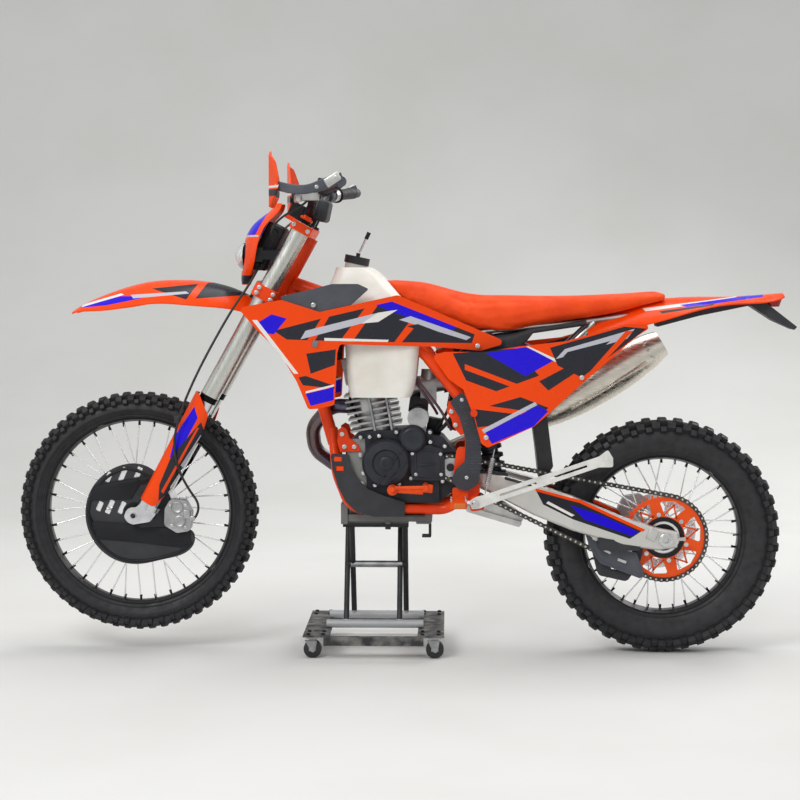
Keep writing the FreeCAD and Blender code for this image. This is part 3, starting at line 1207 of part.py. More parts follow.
# Work dolly under the bike: plate, scissor lift and four casters
dolly_x, dolly_y = size("dolly_x"), size("dolly_y")
dolly_half_long, dolly_half_wide = size("dolly_length") / 2, size("dolly_width") / 2
dolly_top, dolly_plate = size("dolly_top"), size("dolly_plate")
end_plate = size("dolly_end_plate")
decks = [block("dolly_plate%d" % side,
               (dolly_x + side * (dolly_half_long - end_plate / 2) - end_plate / 2, dolly_y - dolly_half_wide,
                dolly_top - dolly_plate),
               (dolly_x + side * (dolly_half_long - end_plate / 2) + end_plate / 2, dolly_y + dolly_half_wide,
                dolly_top)) for side in (-1, 1)]
rail_y = dolly_half_wide - 14
rails = [block("dolly_rail%d" % side, (dolly_x - 142, dolly_y + side * rail_y - 12, dolly_top - 30),
               (dolly_x + 142, dolly_y + side * rail_y + 12, dolly_top - dolly_plate)) for side in (-1, 1)]
keep(joined("stand_dolly", decks + rails), "stand_dolly")
caster_radius = size("caster_radius")
casters = []
for index, (x_side, y_side) in enumerate(((-1, -1), (1, -1), (-1, 1), (1, 1))):
    x = dolly_x + x_side * (dolly_half_long - 26)
    y = dolly_y + y_side * (dolly_half_wide - 30)
    wheel = across("caster_wheel%d" % index, "Sizes.caster_radius", x, caster_radius,
                   y - size("caster_width") / 2, y + size("caster_width") / 2)
    top = block("caster_top%d" % index, (x - 18, y - 18, dolly_top - dolly_plate - 6),
                (x + 18, y + 18, dolly_top - dolly_plate))
    cheeks = [block("caster_cheek%d_%d" % (index, s), (x - 10, min(y + s * 11, y + s * 14), 20),
                    (x + 10, max(y + s * 11, y + s * 14), dolly_top - dolly_plate - 6)) for s in (-1, 1)]
    pin = across("caster_pin%d" % index, 4, x, caster_radius, y - 15, y + 15)
    casters.append(joined("caster%d" % index, [wheel, top, pin] + cheeks))
keep(gathered("stand_casters", casters), "stand_casters")

lift_top = size("lift_top")
platform = block("lift_deck", (-252, dolly_y - 90, lift_top - size("lift_platform")),
                 (0, dolly_y + 90, lift_top))
lift_pieces = [platform, block("lift_end", (-262, dolly_y - 96, 372), (-243, dolly_y + 10, 430))]
low_z, high_z = dolly_top + size("lift_tube_radius") - 0.5, lift_top - size("lift_platform") - 8
for index, x in enumerate((-240, -86)):
    for side in (-1, 1):
        foot = Vector(x + side * 8, dolly_y + side * 76, low_z)
        hand = Vector(x + side * 8, dolly_y - side * 60, high_z)
        lift_pieces.append(rod("lift_leg%d_%d" % (index, side), "Sizes.lift_leg_radius",
                               (hand - foot).Length, foot, hand - foot))
for side in (-1, 1):
    lift_pieces.append(rod("lift_low_bar%d" % side, "Sizes.lift_tube_radius", 280,
                           Vector(dolly_x - 140, dolly_y + side * 76, low_z), X_DIR))
    lift_pieces.append(rod("lift_high_bar%d" % side, "Sizes.lift_tube_radius", 190,
                           Vector(-258, dolly_y + side * 60, high_z), X_DIR))
crossing = low_z + (high_z - low_z) * 76 / 136
lift_pieces.append(rod("lift_mid_bar", 9, 184, Vector(-255, dolly_y, crossing), X_DIR))
keep(cut("stand_lift", joined("lift_raw", lift_pieces), doc.getObject("stand_dolly")), "stand_lift")

# Checks on every object before anything is written
doc.recompute()
failed = [thing.Name for thing in doc.Objects if "Invalid" in thing.State or "Error" in thing.State]
failed += [thing.Label for thing in nodes if thing.Shape.isNull() or not thing.Shape.isValid()]
if failed:
    raise ValueError("failed objects: " + ", ".join(failed))

# The origin lies on the floor under the middle of the bike's length
front_end = front_axle.x - size("front_tyre_radius")
to_origin = Vector(-(front_end + size("bracket_tip_x")) / 2, 0, 0)
os.makedirs("parts", exist_ok=True)
for thing in nodes:
    shape = thing.Shape.copy()
    shape.translate(to_origin)
    shape.exportStep("parts/%s.step" % thing.Label)
print("wrote %d sub-parts" % len(nodes))
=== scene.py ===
import math
from contextlib import contextmanager
from functools import partial

import bpy
from mathutils import Matrix, Vector


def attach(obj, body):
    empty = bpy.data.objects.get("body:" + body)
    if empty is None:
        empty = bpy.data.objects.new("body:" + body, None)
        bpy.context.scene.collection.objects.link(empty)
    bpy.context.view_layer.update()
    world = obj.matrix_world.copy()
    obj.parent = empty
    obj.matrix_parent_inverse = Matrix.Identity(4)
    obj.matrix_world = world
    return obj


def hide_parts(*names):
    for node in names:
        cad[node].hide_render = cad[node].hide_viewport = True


# An enduro dirt bike held by a scissor lift on a wheeled work dolly.
# The bike faces -X and its left side is -Y. Places are written in millimetres
# on the bike's own layout, whose zero lies 79.5 mm behind the middle of the floor box.

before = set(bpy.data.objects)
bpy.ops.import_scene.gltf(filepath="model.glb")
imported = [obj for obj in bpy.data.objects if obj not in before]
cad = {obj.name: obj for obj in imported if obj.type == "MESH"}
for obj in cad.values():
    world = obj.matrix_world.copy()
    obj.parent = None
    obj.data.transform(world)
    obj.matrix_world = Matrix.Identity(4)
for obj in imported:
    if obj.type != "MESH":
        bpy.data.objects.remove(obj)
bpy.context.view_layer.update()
LAYOUT_SHIFT = 79.5


def place(x, y, z):
    return Vector((x + LAYOUT_SHIFT, y, z)) / 1000


AT_ORIGIN = (-LAYOUT_SHIFT, 0, 0)
FRONT_AXLE = place(-850, 0, 403)
REAR_AXLE = place(661, 0, 339)
DRIVE_SHAFT = place(52.1, 0, 538.6)
FRONT_RIM, REAR_RIM = 270, 228
RAKE = math.radians(29)
UP_FORK = (math.sin(RAKE), 0, math.cos(RAKE))


# Shader helpers

def linear(hex_colour):
    """An sRGB hex colour as linear red, green, blue and alpha."""
    channels = [int(hex_colour[i:i + 2], 16) / 255 for i in (1, 3, 5)]
    return tuple(c / 12.92 if c <= 0.04045 else ((c + 0.055) / 1.055) ** 2.4 for c in channels) + (1.0,)


def add(tree, kind, settings=None, **inputs):
    """One shader node, with its settings, and inputs given as values or as sockets to link."""
    node = tree.nodes.new(kind)
    for word, value in (settings or {}).items():
        setattr(node, word, value)
    for word, value in inputs.items():
        key = int(word[1:]) if word[0] == "i" and word[1:].isdigit() else word.replace("_", " ")
        if isinstance(value, bpy.types.NodeSocket):
            tree.links.new(value, node.inputs[key])
        else:
            node.inputs[key].default_value = value
    return node


class Skin:
    """A procedural material on the principled shader, with its patterns in object millimetres."""

    def __init__(self, name, colour, roughness, metallic=0.0, **sockets):
        self.material = bpy.data.materials.new(name)
        self.material.use_nodes = True
        self.material.diffuse_color = linear(colour)
        self.tree = self.material.node_tree
        self.shader = self.tree.nodes["Principled BSDF"]
        plain = {"Base_Color": linear(colour), "Roughness": roughness, "Metallic": metallic, **sockets}
        for word, value in plain.items():
            self.shader.inputs[word.replace("_", " ")].default_value = value
        self.where = self.coordinates()

    def link(self, socket, value):
        self.tree.links.new(value, self.shader.inputs[socket])
        return self

    def coordinates(self, stretch=(1, 1, 1), turn=(0, 0, 0), middle=(0, 0, 0)):
        """Object coordinates in millimetres, moved to a middle, turned and stretched."""
        source = add(self.tree, "ShaderNodeTexCoord").outputs["Object"]
        moved = add(self.tree, "ShaderNodeVectorMath", {"operation": "SUBTRACT"}, i0=source, i1=tuple(middle))
        return add(self.tree, "ShaderNodeMapping", {"vector_type": "POINT"}, Vector=moved.outputs[0],
                   Rotation=turn, Scale=tuple(1000 * s for s in stretch)).outputs[0]

    def radius(self, centre):
        """The distance from the Y line through a centre."""
        flat = add(self.tree, "ShaderNodeVectorMath", {"operation": "MULTIPLY"},
                   i0=self.coordinates(middle=centre), i1=(1, 0, 1)).outputs[0]
        return add(self.tree, "ShaderNodeVectorMath", {"operation": "LENGTH"}, i0=flat).outputs["Value"]

    def emboss(self, pattern, height):
        """Raises the surface by a pattern, up to the given height."""
        bump = add(self.tree, "ShaderNodeBump", Height=pattern, Distance=height / 1000, Strength=1.0)
        return self.link("Normal", bump.outputs[0])

    def grain(self, size, height, where=None, detail=3.0):
        """A soft grain of the given size and height."""
        noise = add(self.tree, "ShaderNodeTexNoise", Vector=where or self.where, Scale=1 / size,
                    Detail=detail)
        return self.emboss(noise.outputs["Fac"], height)

    def cells(self, size, height):
        """Raised cells of the given size and height, parted by creases."""
        edges = add(self.tree, "ShaderNodeTexVoronoi", {"feature": "DISTANCE_TO_EDGE"}, Vector=self.where,
                    Scale=1 / size).outputs["Distance"]
        return self.emboss(add(self.tree, "ShaderNodeMapRange", i0=edges, i2=0.25).outputs[0], height)

    def patches(self, size, detail, low, high, least=0.0, most=1.0, where=None):
        """Soft patches of the given size, as a value that wanders from least to most."""
        noise = add(self.tree, "ShaderNodeTexNoise", Vector=where or self.where, Scale=1 / size,
                    Detail=detail)
        return add(self.tree, "ShaderNodeMapRange", i0=noise.outputs["Fac"], i1=low, i2=high, i3=least,
                   i4=most).outputs[0]

    def scuff(self, low, high, size, where=None):
        """Roughness that wanders between two values in patches of the given size."""
        return self.link("Roughness", self.patches(size, 6.0, 0.35, 0.7, low, high, where))

    def cover(self, base, *coats):
        """A base colour with coats laid over it: each is a colour and the mask where it lies."""
        colour = linear(base)
        for coat, mask in coats:
            colour = add(self.tree, "ShaderNodeMix", {"data_type": "RGBA"}, i0=mask, i6=colour,
                         i7=linear(coat)).outputs[2]
        return self.link("Base Color", colour)

    def vary(self, colour, other, size, low=0.4, high=0.7):
        """Blends the base colour towards another in soft patches of the given size."""
        return self.cover(colour, (other, self.patches(size, 4.0, low, high)))

    def inside(self, outline):
        """A mask that is 1 inside a convex outline of (x, z) layout points."""
        middle_x, middle_z = (sum(values) / len(outline) for values in zip(*outline))
        least = None
        for (x, z), (after_x, after_z) in zip(outline, outline[1:] + outline[:1]):
            length = math.hypot(after_x - x, after_z - z)
            across, up = (z - after_z) / length, (after_x - x) / length
            if across * (middle_x - x) + up * (middle_z - z) < 0:
                across, up = -across, -up
            height = add(self.tree, "ShaderNodeVectorMath", {"operation": "DOT_PRODUCT"}, i0=self.where,
                         i1=(across, 0, up)).outputs["Value"]
            depth = add(self.tree, "ShaderNodeMath", {"operation": "SUBTRACT"}, i0=height,
                        i1=across * (x + LAYOUT_SHIFT) + up * z).outputs[0]
            if least is not None:
                depth = add(self.tree, "ShaderNodeMath", {"operation": "MINIMUM"}, i0=least,
                            i1=depth).outputs[0]
            least = depth
        return add(self.tree, "ShaderNodeMath", {"operation": "GREATER_THAN"}, i0=least, i1=0.0).outputs[0]

    def paint(self, base, zones):
        """Flat shapes over a base colour: each zone is a colour and a convex outline of layout points."""
        return self.cover(base, *[(colour, self.inside(outline)) for colour, outline in zones])

    def bands(self, base, direction, *bands):
        """A colour for each band between two heights along a direction, over a base colour."""
        height = add(self.tree, "ShaderNodeVectorMath", {"operation": "DOT_PRODUCT"}, i0=self.where,
                     i1=direction).outputs["Value"]
        coats = []
        for colour, low, high in bands:
            above = add(self.tree, "ShaderNodeMath", {"operation": "GREATER_THAN"}, i0=height, i1=low)
            below = add(self.tree, "ShaderNodeMath", {"operation": "LESS_THAN"}, i0=height, i1=high)
            both = add(self.tree, "ShaderNodeMath", {"operation": "MULTIPLY"}, i0=above.outputs[0],
                       i1=below.outputs[0])
            coats.append((colour, both.outputs[0]))
        return self.cover(base, *coats)


ORANGE, ORANGE_DEEP = "#F84A08", "#E43A04"
INK, BLUE, SILVER, PALE = "#2C2D34", "#2410DA", "#C3C3CE", "#ECE9E4"
BLACK_COAT, BLACK_CASE, ARM_ALLOY, ANODISED_ORANGE = "#1B1C20", "#23262D", "#CFCEC9", "#F4540E"


# Finishes

def moulded_plastic(name, colour, other, roughness=0.3):
    """Injection moulded polypropylene: glossy, with a faint skin ripple and rubbed patches."""
    skin = Skin(name, colour, roughness, IOR=1.49, Specular_IOR_Level=0.22)
    return skin.vary(colour, other, 120).grain(3.0, 0.03).scuff(roughness - 0.07, roughness + 0.12, 60)


def printed_plastic(name, zones):
    """Moulded plastic under a printed film: flat angular shapes with a clear, slightly soft gloss."""
    skin = Skin(name, ORANGE, 0.3, IOR=1.5, Specular_IOR_Level=0.22)
    return skin.paint(ORANGE, zones).grain(3.0, 0.025).scuff(0.2, 0.36, 50)


def textured_nylon(name, colour, other, size=1.6, roughness=0.58):
    """Glass-filled nylon: a leathery mould texture, dull, a little paler where it is rubbed."""
    return Skin(name, colour, roughness, IOR=1.53).vary(colour, other, 45).cells(size, 0.25)


def cast_metal(name, colour, other, roughness=0.42, metallic=1.0, size=2.2, height=0.12):
    """Die cast aluminium: a pebbled skin with grey staining in its hollows."""
    skin = Skin(name, colour, roughness, metallic).vary(colour, other, 35)
    return skin.grain(size, height, detail=5.0).scuff(roughness - 0.08, roughness + 0.15, 25)


def brushed_metal(name, colour, other, turn=(0, 0, 0), roughness=0.3, stretch=(1, 1, 0.03), height=0.03):
    """Drawn or brushed metal: fine lines along the piece, 0.9 mm apart so that they show."""
    skin = Skin(name, colour, roughness, 1.0)
    lines = skin.coordinates(stretch, turn)
    skin.vary(colour, other, 30).grain(0.9, height, lines)
    return skin.scuff(roughness - 0.08, roughness + 0.12, 4, lines)


def powder_coat(name, colour, other, roughness=0.34):
    """Powder coat over steel tube: even, with orange peel of about 2 mm."""
    skin = Skin(name, colour, roughness, IOR=1.5, Specular_IOR_Level=0.3)
    return skin.vary(colour, other, 80).grain(2.2, 0.05).scuff(roughness - 0.08, roughness + 0.1, 40)


def rubber(name, colour, other, roughness=0.72, size=0.8, height=0.06):
    """Black rubber: soft sheen, with a grey bloom and dust in patches."""
    skin = Skin(name, colour, roughness, IOR=1.52).vary(colour, other, 28, 0.42, 0.75)
    return skin.grain(size, height).scuff(roughness - 0.12, roughness + 0.12, 20)


def wire_wheel_finish(name, centre, rim_radius):
    """Black anodised rim and hub with bright stainless spokes and disc, told apart by radius."""
    skin = Skin(name, "#C9CBCE", 0.25, 1.0)
    radius = skin.radius(centre)
    rim_inside, hub_radius = rim_radius - 10.5, 38.5
    rim = add(skin.tree, "ShaderNodeMath", {"operation": "GREATER_THAN"}, i0=radius, i1=rim_inside).outputs[0]
    hub = add(skin.tree, "ShaderNodeMath", {"operation": "LESS_THAN"}, i0=radius, i1=hub_radius).outputs[0]
    dark = add(skin.tree, "ShaderNodeMath", {"operation": "MAXIMUM"}, i0=rim, i1=hub).outputs[0]
    for socket, on_bright, on_dark in (("Roughness", 0.22, 0.33), ("Metallic", 0.75, 0.3)):
        skin.link(socket, add(skin.tree, "ShaderNodeMapRange", i0=dark, i3=on_bright, i4=on_dark).outputs[0])
    return skin.cover("#F1F2F3", ("#101115", dark)).grain(0.8, 0.02)


def header_finish(name):
    """Stainless pipe, straw and blue from heat near the cylinder and grey further back."""
    skin = Skin(name, "#8E8478", 0.3, 1.0)
    along = add(skin.tree, "ShaderNodeSeparateXYZ", Vector=skin.where).outputs["X"]
    noise = add(skin.tree, "ShaderNodeTexNoise", Vector=skin.where, Scale=1 / 30, Detail=3.0).outputs["Fac"]
    spread = add(skin.tree, "ShaderNodeMath", {"operation": "MULTIPLY_ADD"}, i0=noise, i1=90.0, i2=along)
    share = add(skin.tree, "ShaderNodeMapRange", i0=spread.outputs[0], i1=-330.0, i2=180.0).outputs[0]
    ramp = add(skin.tree, "ShaderNodeValToRGB", Fac=share)
    colours = ramp.color_ramp.elements
    colours[0].color, colours[1].color = linear("#8A6A46"), linear("#9A968F")
    colours.new(0.35).color = linear("#5E5F74")
    return skin.link("Base Color", ramp.outputs[0]).grain(1.2, 0.03).scuff(0.24, 0.42, 20)


def tank_finish(name):
    """Blow moulded milky polyethylene: waxy, a little light goes through, with a faint mould skin."""
    skin = Skin(name, "#F0EDE5", 0.36, IOR=1.51, Subsurface_Weight=0.25, Subsurface_Scale=0.01)
    return skin.vary("#F2EFE8", "#E2DED3", 90).grain(2.5, 0.05)


def vinyl_finish(name):
    """Grippy seat vinyl: a fine leather-like emboss, dull, with a soft sheen."""
    skin = Skin(name, "#F64D0E", 0.55, IOR=1.5, Specular_IOR_Level=0.25)
    return skin.vary("#F84F0E", "#E64208", 70).cells(2.4, 0.14).scuff(0.46, 0.66, 35)


def core_finish(name):
    """Radiator core: a pressed fin every 3 mm between flat tubes, bare aluminium dulled to grey; its dark
    stripes are painted shade in the gaps between the fin rows.
    """
    skin = Skin(name, "#8D9093", 0.45, 1.0)
    where = skin.coordinates(turn=(0, math.radians(14), 0))
    fin_bands_and_gap_shade = add(skin.tree, "ShaderNodeTexWave", {"bands_direction": "Z"}, Vector=where, Scale=0.105)
    # Dark stripes: painted shade in each gap between one fin and the next. Pale stripes: the fin metal. The
    # same stripes raise each fin as a bump.
    return skin.cover("#5B5E61", ("#A9ACAF", fin_bands_and_gap_shade.outputs["Fac"])).emboss(fin_bands_and_gap_shade.outputs["Fac"], 1.2)


def lens_finish(name, colour, transmission, roughness=0.08):
    """Moulded polycarbonate lens with fine upright flutes inside."""
    skin = Skin(name, colour, roughness, IOR=1.58, Transmission_Weight=transmission)
    flutes = add(skin.tree, "ShaderNodeTexWave", {"bands_direction": "Y"}, Vector=skin.where, Scale=0.06)
    return skin.emboss(flutes.outputs["Fac"], 0.6)


SHROUD_ZONES = [
    (INK, [(-440, 932), (-300, 968), (-110, 1012), (120, 920), (110, 890), (-240, 902), (-400, 905)]),
    (ORANGE, [(-352, 898), (-330, 898), (-284, 975), (-306, 970)]),
    (ORANGE, [(-262, 896), (-226, 896), (-150, 1004), (-186, 996)]),
    (ORANGE, [(-110, 893), (-90, 893), (-14, 980), (-38, 990)]),
    (BLUE, [(-170, 1000), (-112, 1013), (70, 940), (40, 926), (-60, 965)]),
    (BLUE, [(-492, 950), (-446, 978), (-404, 966), (-440, 922), (-470, 926)]),
    (SILVER, [(-366, 908), (-352, 932), (-150, 982), (-196, 952)]),
    (PALE, [(-196, 952), (-150, 982), (-96, 990), (-150, 956)]),
    (SILVER, [(-92, 962), (-60, 972), (110, 912), (96, 904)]),
    (INK, [(-70, 944), (-40, 950), (60, 912), (30, 908)]),
    (PALE, [(-300, 912), (-120, 906), (-124, 900), (-300, 904)]),
    (PALE, [(-500, 962), (-486, 962), (-372, 812), (-384, 812)]),
    (INK, [(-350, 868), (-268, 880), (-271, 836), (-338, 812)]),
    (INK, [(-372, 802), (-352, 806), (-272, 778), (-272, 770), (-360, 780)]),
    (BLUE, [(-352, 756), (-274, 774), (-274, 738), (-338, 722)]),
    (PALE, [(-352, 763), (-273, 782), (-273, 776), (-352, 757)]),
]

PANEL_ZONES = [
    (INK, [(58, 868), (230, 882), (300, 806), (180, 762), (96, 792)]),
    (BLUE, [(150, 869), (262, 886), (344, 850), (262, 804)]),
    (PALE, [(262, 888), (270, 888), (352, 850), (346, 844)]),
    (ORANGE, [(92, 838), (330, 748), (320, 738), (92, 822)]),
    (INK, [(330, 884), (540, 942), (604, 936), (420, 800), (352, 834)]),
    (SILVER, [(346, 852), (372, 880), (570, 936), (548, 908)]),
    (INK, [(366, 858), (380, 872), (500, 902), (480, 884)]),
    (ORANGE, [(428, 800), (446, 806), (566, 930), (544, 930)]),
    (INK, [(116, 708), (248, 746), (326, 716), (300, 682), (128, 660)]),
    (ORANGE, [(110, 728), (310, 700), (306, 690), (116, 712)]),
    (BLUE, [(150, 646), (296, 722), (326, 706), (286, 664), (168, 614)]),
    (SILVER, [(140, 654), (288, 732), (296, 724), (146, 644)]),
    (INK, [(300, 790), (400, 842), (424, 828), (326, 764)]),
]

FENDER_ZONES = [
    (BLUE, [(-1016, 992), (-890, 1026), (-800, 1026), (-930, 1000)]),
    (PALE, [(-1010, 1000), (-890, 1034), (-880, 1030), (-1006, 994)]),
    (INK, [(-800, 1048), (-620, 1066), (-520, 1030), (-700, 1018)]),
    (SILVER, [(-860, 1030), (-700, 1040), (-690, 1034), (-850, 1020)]),
    (ORANGE, [(-700, 1012), (-676, 1012), (-640, 1070), (-664, 1070)]),
]

REAR_ZONES = [
    (PALE, [(596, 992), (870, 1026), (860, 1019), (604, 984)]),
    (BLUE, [(700, 1002), (950, 1034), (938, 1024), (720, 996)]),
    (INK, [(640, 984), (800, 1006), (790, 1000), (650, 978)]),
    (BLUE, [(880, 1036), (980, 1040), (960, 1032), (890, 1030)]),
]

ARM_ZONES = [
    (INK, [(296, 474), (424, 442), (596, 366), (560, 342), (400, 396), (316, 436)]),
    (BLUE, [(392, 436), (470, 412), (584, 362), (566, 350), (432, 396)]),
    (ORANGE, [(294, 482), (426, 450), (422, 442), (294, 474)]),
    (ORANGE, [(424, 450), (604, 368), (596, 362), (420, 442)]),
    (PALE, [(330, 446), (404, 408), (396, 404), (324, 440)]),
]

GUARD_ZONES = [
    (BLUE, [(-671, 716), (-661, 684), (-700, 612), (-742, 570), (-726, 636)]),
    (INK, [(-652, 672), (-644, 640), (-752, 466), (-776, 447), (-772, 494), (-738, 574)]),
    (ORANGE, [(-664, 656), (-658, 656), (-762, 468), (-768, 474)]),
    (SILVER, [(-656, 634), (-644, 622), (-700, 530), (-712, 548)]),
    (PALE, [(-708, 540), (-700, 526), (-738, 470), (-744, 484)]),
]

SHIELD_ZONES = [
    (INK, [(-460, 1300), (-380, 1300), (-380, 1318), (-460, 1318)]),
    (PALE, [(-460, 1322), (-380, 1322), (-380, 1328), (-460, 1328)]),
]

MASK_ZONES = [
    (INK, [(-560, 1060), (-440, 1060), (-440, 1085), (-560, 1085)]),
    (BLUE, [(-560, 1200), (-500, 1200), (-470, 1262), (-500, 1262)]),
    (SILVER, [(-560, 1194), (-490, 1194), (-490, 1199), (-560, 1199)]),
]

CASE_ZONES = [("#8E8E8B", [(-260, 620), (-192, 620), (-186, 440), (-260, 440)])]

along_fork = (0, -RAKE, 0)
finishes = {
    "orange_plastic": moulded_plastic("moulded_orange_polypropylene", ORANGE, ORANGE_DEEP),
    "shroud_print": printed_plastic("shroud_film", SHROUD_ZONES),
    "panel_print": printed_plastic("side_panel_film", PANEL_ZONES),
    "fender_print": printed_plastic("fender_film", FENDER_ZONES),
    "tail_print": printed_plastic("tail_film", REAR_ZONES),
    "guard_print": printed_plastic("fork_guard_film", GUARD_ZONES),
    "shield_print": printed_plastic("hand_shield_film", SHIELD_ZONES),
    "mask_print": printed_plastic("mask_film", MASK_ZONES),
    "black_plastic": textured_nylon("black_nylon", "#202227", "#2C2E33"),
    "grey_pad": textured_nylon("grey_grip_pad", "#4A4D55", "#40434A", 3.4, 0.62),
    "guard_pad": textured_nylon("black_scaled_guard", "#2B2E36", "#363942", 6.5, 0.6),
    "band_grey": textured_nylon("dark_grey_nylon", "#454952", "#50545D", 1.2, 0.5),
    "frame_coat": powder_coat("orange_powder_coat", "#F44606", "#DF3903"),
    "engine_paint": cast_metal("black_engine_paint", BLACK_CASE, "#2D3038", 0.4, 0.3),
    "case_paint": cast_metal("black_and_bare_crankcase", BLACK_CASE, "#2D3038", 0.44, 0.3),
    "bar_paint": powder_coat("black_bar_coating", BLACK_COAT, "#25262B"),
    "clamp_paint": powder_coat("steering_clamp_coating", BLACK_COAT, "#25262B"),
    "lamp_paint": moulded_plastic("black_lamp_housing", "#1C1D20", "#26282B", 0.4),
    "breather_hose": rubber("purple_brown_hose", "#4A2F38", "#5B3D47", 0.4, 1.5, 0.02),
    "soft_pad": textured_nylon("bar_pad_cover", "#26282D", "#303238", 2.0, 0.6),
    "amber": lens_finish("amber_reflector", "#E87A10", 0.2),
    "steel_screw": cast_metal("plated_screw", "#D2D3D3", "#B3B4B6", 0.26, 1.0, 1.0, 0.02),
    "orange_mark": moulded_plastic("orange_insert", ORANGE, ORANGE_DEEP),
    "caster": rubber("black_caster_tread", "#1D1E20", "#2B2B2B", 0.6),
    "cast_alloy": cast_metal("sand_cast_aluminium", "#B4B5B4", "#96979A"),
    "forged_alloy": cast_metal("bead_blasted_aluminium", "#C9C9C6", "#B4B5B4", 0.36, 1.0, 1.4, 0.04),
    "stand_alloy": cast_metal("polished_stand_leg", "#E6E5E0", "#D2D1CC", 0.34, 0.7, 1.4, 0.03),
    "fork_alloy": brushed_metal("anodised_fork_tube", "#C8C9C3", "#C1C2BB", along_fork, 0.3,
                                (1, 1, 0.01), 0.008),
    "slider_chrome": brushed_metal("hard_chromed_slider", "#D5D6D8", "#C0C1C4", along_fork, 0.14),
    "bright_steel": brushed_metal("bright_steel", "#C4C5C7", "#A7A8AB", (0, 0, 0), 0.24, (1, 0.05, 1)),
    "chain_steel": cast_metal("oiled_chain_steel", "#57544F", "#2F2D2B", 0.34, 0.8, 0.8, 0.02),
    "header": header_finish("heat_tinted_steel"),
    "muffler": brushed_metal("brushed_silencer_sleeve", "#DAD4C8", "#D2CBBF", (0, 0.55, 0), 0.3,
                             (0.03, 1, 1), 0.006),
    "tank": tank_finish("milky_polyethylene"),
    "seat_vinyl": vinyl_finish("seat_vinyl"),
    "tyre_rubber": rubber("tyre_rubber", "#17181B", "#232427", 0.62),
    "soft_rubber": rubber("hose_rubber", "#17181A", "#222325", 0.5),
    "grip_rubber": rubber("grip_rubber", "#191A1C", "#252629", 0.66, 1.6, 0.3),
    "core": core_finish("radiator_core"),
    "clear_lens": lens_finish("clear_polycarbonate", "#DDE2E6", 0.55),
    "red_lens": lens_finish("red_polycarbonate", "#C11310", 0.25),
    "front_wheel": wire_wheel_finish("front_wheel_finish", FRONT_AXLE, FRONT_RIM),
    "rear_wheel": wire_wheel_finish("rear_wheel_finish", REAR_AXLE, REAR_RIM),
    "worn_black": cast_metal("worn_black_paint", "#2B2C2E", "#83827E", 0.6, 0.1, 1.2, 0.05),
    "stand_paint": cast_metal("worn_black_lift_paint", "#232426", "#494845", 0.5, 0.2, 1.2, 0.05),
    "zinc": brushed_metal("zinc_plate", "#A9ABAC", "#84878A", (0, 0, 0), 0.36, (1, 1, 0.08)),
    "arm_print": cast_metal("swingarm_aluminium", ARM_ALLOY, "#BDBDB9", 0.38, 0.85, 1.4, 0.04),
    "sprocket": powder_coat("orange_anodised_fittings", ANODISED_ORANGE, "#DF460A", 0.3),
    "rear_sprocket": powder_coat("orange_anodised_sprocket", ANODISED_ORANGE, "#DF460A", 0.3),
}

finishes["arm_print"].paint(ARM_ALLOY, ARM_ZONES)
finishes["case_paint"].paint(BLACK_CASE, CASE_ZONES)
finishes["clamp_paint"].bands(BLACK_COAT, UP_FORK, (ORANGE, 695, 735), (ORANGE, 911, 940))
finishes["fork_alloy"].bands("#C8C9C3", UP_FORK, ("#1B1C1E", 340, 384), ("#1F2022", 940, 970))
finishes["stand_paint"].bands("#232426", (0, 0, 1), ("#B4B7B9", 60, 93), ("#6E6E6C", 372, 432))
sprocket = finishes["rear_sprocket"]
CARRIER_RADIUS = 59
carrier = add(sprocket.tree, "ShaderNodeMath", {"operation": "LESS_THAN"}, i0=sprocket.radius(REAR_AXLE),
              i1=CARRIER_RADIUS).outputs[0]
sprocket.cover(ANODISED_ORANGE, ("#17181B", carrier))

NODES_OF_FINISH = {
    "front_wheel": "front_wheel", "rear_wheel": "rear_wheel", "rear_sprocket": "rear_sprocket",
    "bright_steel": "front_sprocket front_axle rear_axle", "fork_alloy": "fork_tubes",
    "slider_chrome": "fork_legs", "guard_print": "fork_guards", "clamp_paint": "steering_clamps",
    "bar_paint": "handlebar", "grip_rubber": "grips", "forged_alloy": "levers subframe linkage",
    "band_grey": "hand_guards", "shield_print": "hand_shields", "mask_print": "headlight_mask",
    "lamp_paint": "headlight", "fender_print": "front_fender", "frame_coat": "main_frame",
    "cast_alloy": "front_caliper engine_cylinder starter_motor carburettor rear_caliper",
    "black_plastic": "disc_cover airbox tank_cap plate_bracket chain_guide skid_plate",
    "case_paint": "engine_cases", "engine_paint": "engine_covers shock_absorber",
    "header": "exhaust_header", "muffler": "muffler", "tank": "fuel_tank", "shroud_print": "shrouds",
    "grey_pad": "tank_pads", "panel_print": "side_panels", "tail_print": "rear_fender",
    "red_lens": "tail_light", "arm_print": "swingarm", "guard_pad": "frame_guards",
    "sprocket": "foot_pegs foot_levers", "soft_rubber": "mud_flap brake_hose", "core": "radiators",
    "stand_alloy": "side_stand", "worn_black": "stand_dolly", "zinc": "stand_casters",
    "stand_paint": "stand_lift", "chain_steel": "chain", "tyre_rubber": "front_tyre rear_tyre",
    "seat_vinyl": "seat",
}
for finish_name, node_names in NODES_OF_FINISH.items():
    for node_name in node_names.split():
        mesh = cad[node_name].data
        mesh.materials.clear()
        mesh.materials.append(finishes[finish_name].material)


# Modelling helpers

def choose_only(*pieces):
    bpy.ops.object.select_all(action="DESELECT")
    for piece in pieces:
        piece.select_set(True)
    bpy.context.view_layer.objects.active = pieces[0]


@contextmanager
def editing(choose=None):
    """Edit mode on the active piece, with everything in it chosen or unchosen first if asked."""
    bpy.ops.object.mode_set(mode="EDIT")
    if choose:
        bpy.ops.mesh.select_all(action=choose)
    yield
    bpy.ops.object.mode_set(mode="OBJECT")


def choose_faces(piece, test):
    choose_only(piece)
    with editing("DESELECT"):
        pass
    for face in piece.data.polygons:
        face.select = test(face)


